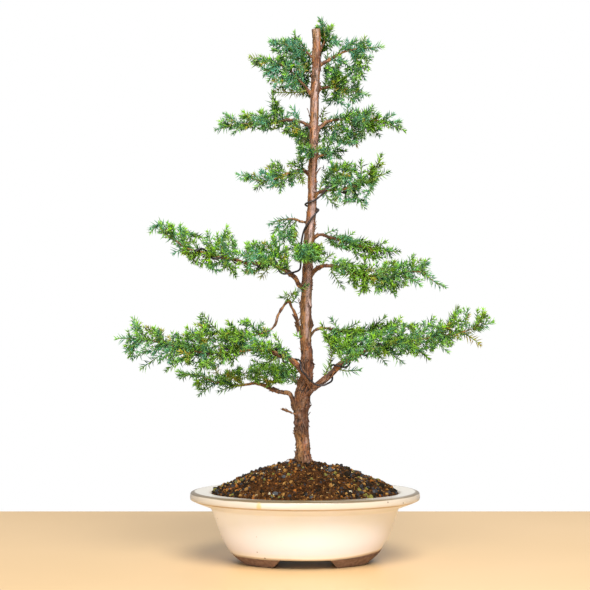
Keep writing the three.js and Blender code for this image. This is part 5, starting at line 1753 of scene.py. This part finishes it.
def fillGreen(name, limb, sprays, owners, draw):
    # each goal in turn is reached by a short shoot from the best placed spot on the shoots there are
    plan = foliagePlan
    goals = greenGoals(name, limb, sprays["leafy_" + name][0][0], draw)
    starts = [(line.at(share), line.heading(share), owner) for owner in owners
              for line, thick, order in sprays[owner] for share in np.arange(0.12, 0.93, 2.5 / line.length)]

    def costs(goals, starts):
        roots, ways = (np.array([start[k] for start in starts])[None] for k in (0, 1))
        away = goals[:, None] - roots
        reach = np.linalg.norm(away, axis=2)
        lean = np.sum(away * ways, axis=2) / np.maximum(reach, 1e-6)
        turn = plan["turnCost"] * np.arccos(np.clip(lean, -1, 1)) ** 2
        return reach, reach + turn + plan["shortCost"] * (reach < plan["fillNear"])

    bare = limb["line"]
    for share in np.arange(0.15, limb["wood"], 3.5 / bare.length):
        starts.append((bare.at(share), bare.heading(share), "bark"))  # on the limb's own bare wood
    reach, cost = costs(goals, starts)
    nearest, best, bestStart = reach.min(axis=1), cost.min(axis=1), cost.argmin(axis=1)
    while len(goals):
        pick = int(best.argmin())
        goal, (root, way, owner), gap, bill = goals[pick], starts[bestStart[pick]], nearest[pick], best[pick]
        goals, nearest, best, bestStart = (
            np.delete(rows, pick, axis=0) for rows in (goals, nearest, best, bestStart)
        )
        tooLong = np.linalg.norm(goal - root) > plan["fillLong"]
        if gap < plan["fillNear"] or bill > plan["mostCost"] or tooLong:
            continue
        away = goal - root
        heading = unit(unit(away) * 0.6 + way * 0.4)
        if owner == "bark":
            heading = unit(away - 0.9 * way * away.dot(way))
            root = root + heading * (limbRadius(limb, 0.5 * limb["wood"]) - 0.6)
        length = np.linalg.norm(goal - root)
        shoot = Line(arcRoute(root, heading, root + 0.4 * length * heading, goal, 8))
        if not clearOfWood(shoot.points[2:]):
            continue
        owner = "bare_wood" if owner == "bark" else owner
        sprays[owner].append((shoot, plan["fillThick"], 2))
        added = [(shoot.at(share), shoot.heading(share), owner) for share in (0.45, 0.65, 0.85)]
        if len(goals):
            reach, cost = costs(goals, added)
            nearest = np.minimum(nearest, reach.min(axis=1))
            better = cost.min(axis=1) < best
            bestStart = np.where(better, len(starts) + cost.argmin(axis=1), bestStart)
            best = np.minimum(best, cost.min(axis=1))
        starts += added


def growSprays():
    # each CAD foliage node and the shoots that stand for it
    sprays = dict(bare_wood=[])  # the first are sprouts on bare wood, which no node has
    draw = random.Random(foliagePlan["seed"])
    for name, limb in limbPlan.items():
        stem = stemOf(limb)
        first = float(min(1.5, limbRadius(limb, limb["wood"])))
        sprays["leafy_" + name] = [(stem, (first, 0.5), 0)]
        for *tip, share in limb["far"]:
            side = sideRoute(stem, tip, share)
            sprays["leafy_" + name].append((side, foliagePlan["sideThick"], 1))
        for k, (x, y, z, share, *bow) in enumerate(limb["near"]):
            onWood = float(limbRadius(limb, share)) - 0.4
            side = sideRoute(limb["line"], (x, y, z), share, onWood, sum(bow))
            sprays[f"spray_{name}_{k + 1}"] = [(side, foliagePlan["sideThick"], 1)]
        owners = ["leafy_" + name, *(f"spray_{name}_{k + 1}" for k in range(len(limb["near"])))]
        fillGreen(name, limb, sprays, owners, draw)
    for root, tip in foliagePlan["sprouts"]:
        root, tip = np.array(root), np.array(tip)
        sprout = Line([root, 0.55 * root + 0.45 * tip + (0, 0, 0.5), tip])
        sprays["bare_wood"].append((sprout, foliagePlan["sproutThick"], 2))
    return sprays


shootTree, needle = makeShootTree(), makeNeedle()
needleCount, biggest = 0, 0
for number, (name, shoots) in enumerate(growSprays().items()):
    draw = random.Random(foliagePlan["seed"] * 1000 + number)
    runs = []
    for line, thick, order in shoots:
        addShoot(runs, line, thick, order, draw)
    helper = runShape(name + "Run", runs, ("thick", "vigour", "fresh", "tight", "dry", "wax", "woody"))
    addGrowth(helper, shootTree, {
        "Needle": needle, "Whorl Step": foliagePlan["whorlStep"] * mm,
        "Needle Length": foliagePlan["needleLength"] * mm, "Needle Width": foliagePlan["needleWidth"] * mm,
        "Lean": math.radians(foliagePlan["lean"]), "Lean Spread": math.radians(foliagePlan["leanSpread"]),
        "Twig Material": twigFinish, "Needle Material": needleFinish, "Seed": 100 + number,
    })
    spray = settle(helper, name + "_needles",
                   keep=("tone", "fresh", "dry", "wax", "woody", "blade", "inner"))
    inBox = np.clip(readPoints(spray.data), cadBox[0], cadBox[1])
    writePoints(spray.data, inBox)
    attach(spray, "root")
    if name != "bare_wood":
        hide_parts(name)
    sides = len(spray.data.loop_triangles) or sum(len(f.vertices) - 2 for f in spray.data.polygons)
    needleCount, biggest = needleCount + sides, max(biggest, sides)
bpy.data.objects.remove(needle)
print("foliage made, triangles", needleCount, "and at most", biggest, "in a piece")


# Table, light and camera

stagePlan = dict(back=0.427, front=-1.0, half=2.2, thick=0.03)


def makeTable():
    shape = bmesh.new()
    bmesh.ops.create_cube(shape, size=1.0)
    for corner in shape.verts:
        corner.co.x *= 2 * stagePlan["half"]
        corner.co.y = stagePlan["back"] if corner.co.y > 0 else stagePlan["front"]
        corner.co.z = (corner.co.z - 0.5) * stagePlan["thick"]
    bmesh.ops.bevel(shape, geom=shape.edges[:], offset=0.004, segments=3, affect="EDGES")
    mesh = bpy.data.meshes.new("table")
    shape.to_mesh(mesh)
    shape.free()
    material, _, shader, place = newFinish("pale table", colour(0.85, 0.8, 0.7))
    patch = addMottle(place, 3, 0.3, 0.7)
    base = addMix(patch, colour(0.66, 0.448, 0.220), colour(0.69, 0.474, 0.244))
    paint(shader, base)
    shader.inputs["Roughness"].default_value = 0.35
    mesh.materials.append(material)
    return addObject("table", mesh)


def addArea(name, place, target, size, power, tint=(1, 1, 1)):
    light = bpy.data.lights.new(name, "AREA")
    light.shape, light.size, light.energy, light.color = "DISK", size, power, tint
    lamp = addObject(name, light)
    lamp.location = place
    lamp.rotation_euler = (Vector(target) - Vector(place)).to_track_quat("-Z", "Y").to_euler()


table = makeTable()
table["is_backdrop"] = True
addArea("keyLight", (0.35, -1.85, 2.2), (0, 0, 0.3), 1.8, 126, (1.0, 0.985, 0.96))
addArea("fillLight", (-0.9, -2.0, 0.4), (0, 0, 0.2), 1.2, 15, (0.96, 0.98, 1.0))
addArea("backLight", (0.3, 1.8, 1.6), (0, 0, 0.35), 1.2, 6)

world = bpy.data.worlds.new("studio")
world.use_nodes = True
skyTree = world.node_tree
sky = skyTree.nodes["Background"]
sky.inputs["Color"].default_value = (1, 1, 1, 1)
seen = addNode(skyTree, "ShaderNodeLightPath").outputs["Is Camera Ray"]
# the studio is brighter in front than behind, and the camera sees plain white
way = addNode(skyTree, "ShaderNodeTexCoord").outputs["Generated"]
way = addNode(skyTree, "ShaderNodeSeparateXYZ", way)
soft = addRange(way.outputs["Y"], -0.6, 0.6, 0.56, 0.46)
feed(sky.inputs["Strength"], addRange(seen, 0.0, 1.0, soft, 1.0))
scene.world = world
scene.view_settings.view_transform = "Standard"

lens = bpy.data.cameras.new("camera")
lens.sensor_width, lens.lens = 36.0, 101.4
camera = addObject("camera", lens)
camera.location = (-0.011, -1.835, 0.294)
camera.rotation_euler = (math.radians(90), 0, 0)
scene.camera = camera
print("stage set")

sizes = {"cad": [list(corner) for corner in cadBox], "visual": [list(corner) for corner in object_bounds()]}
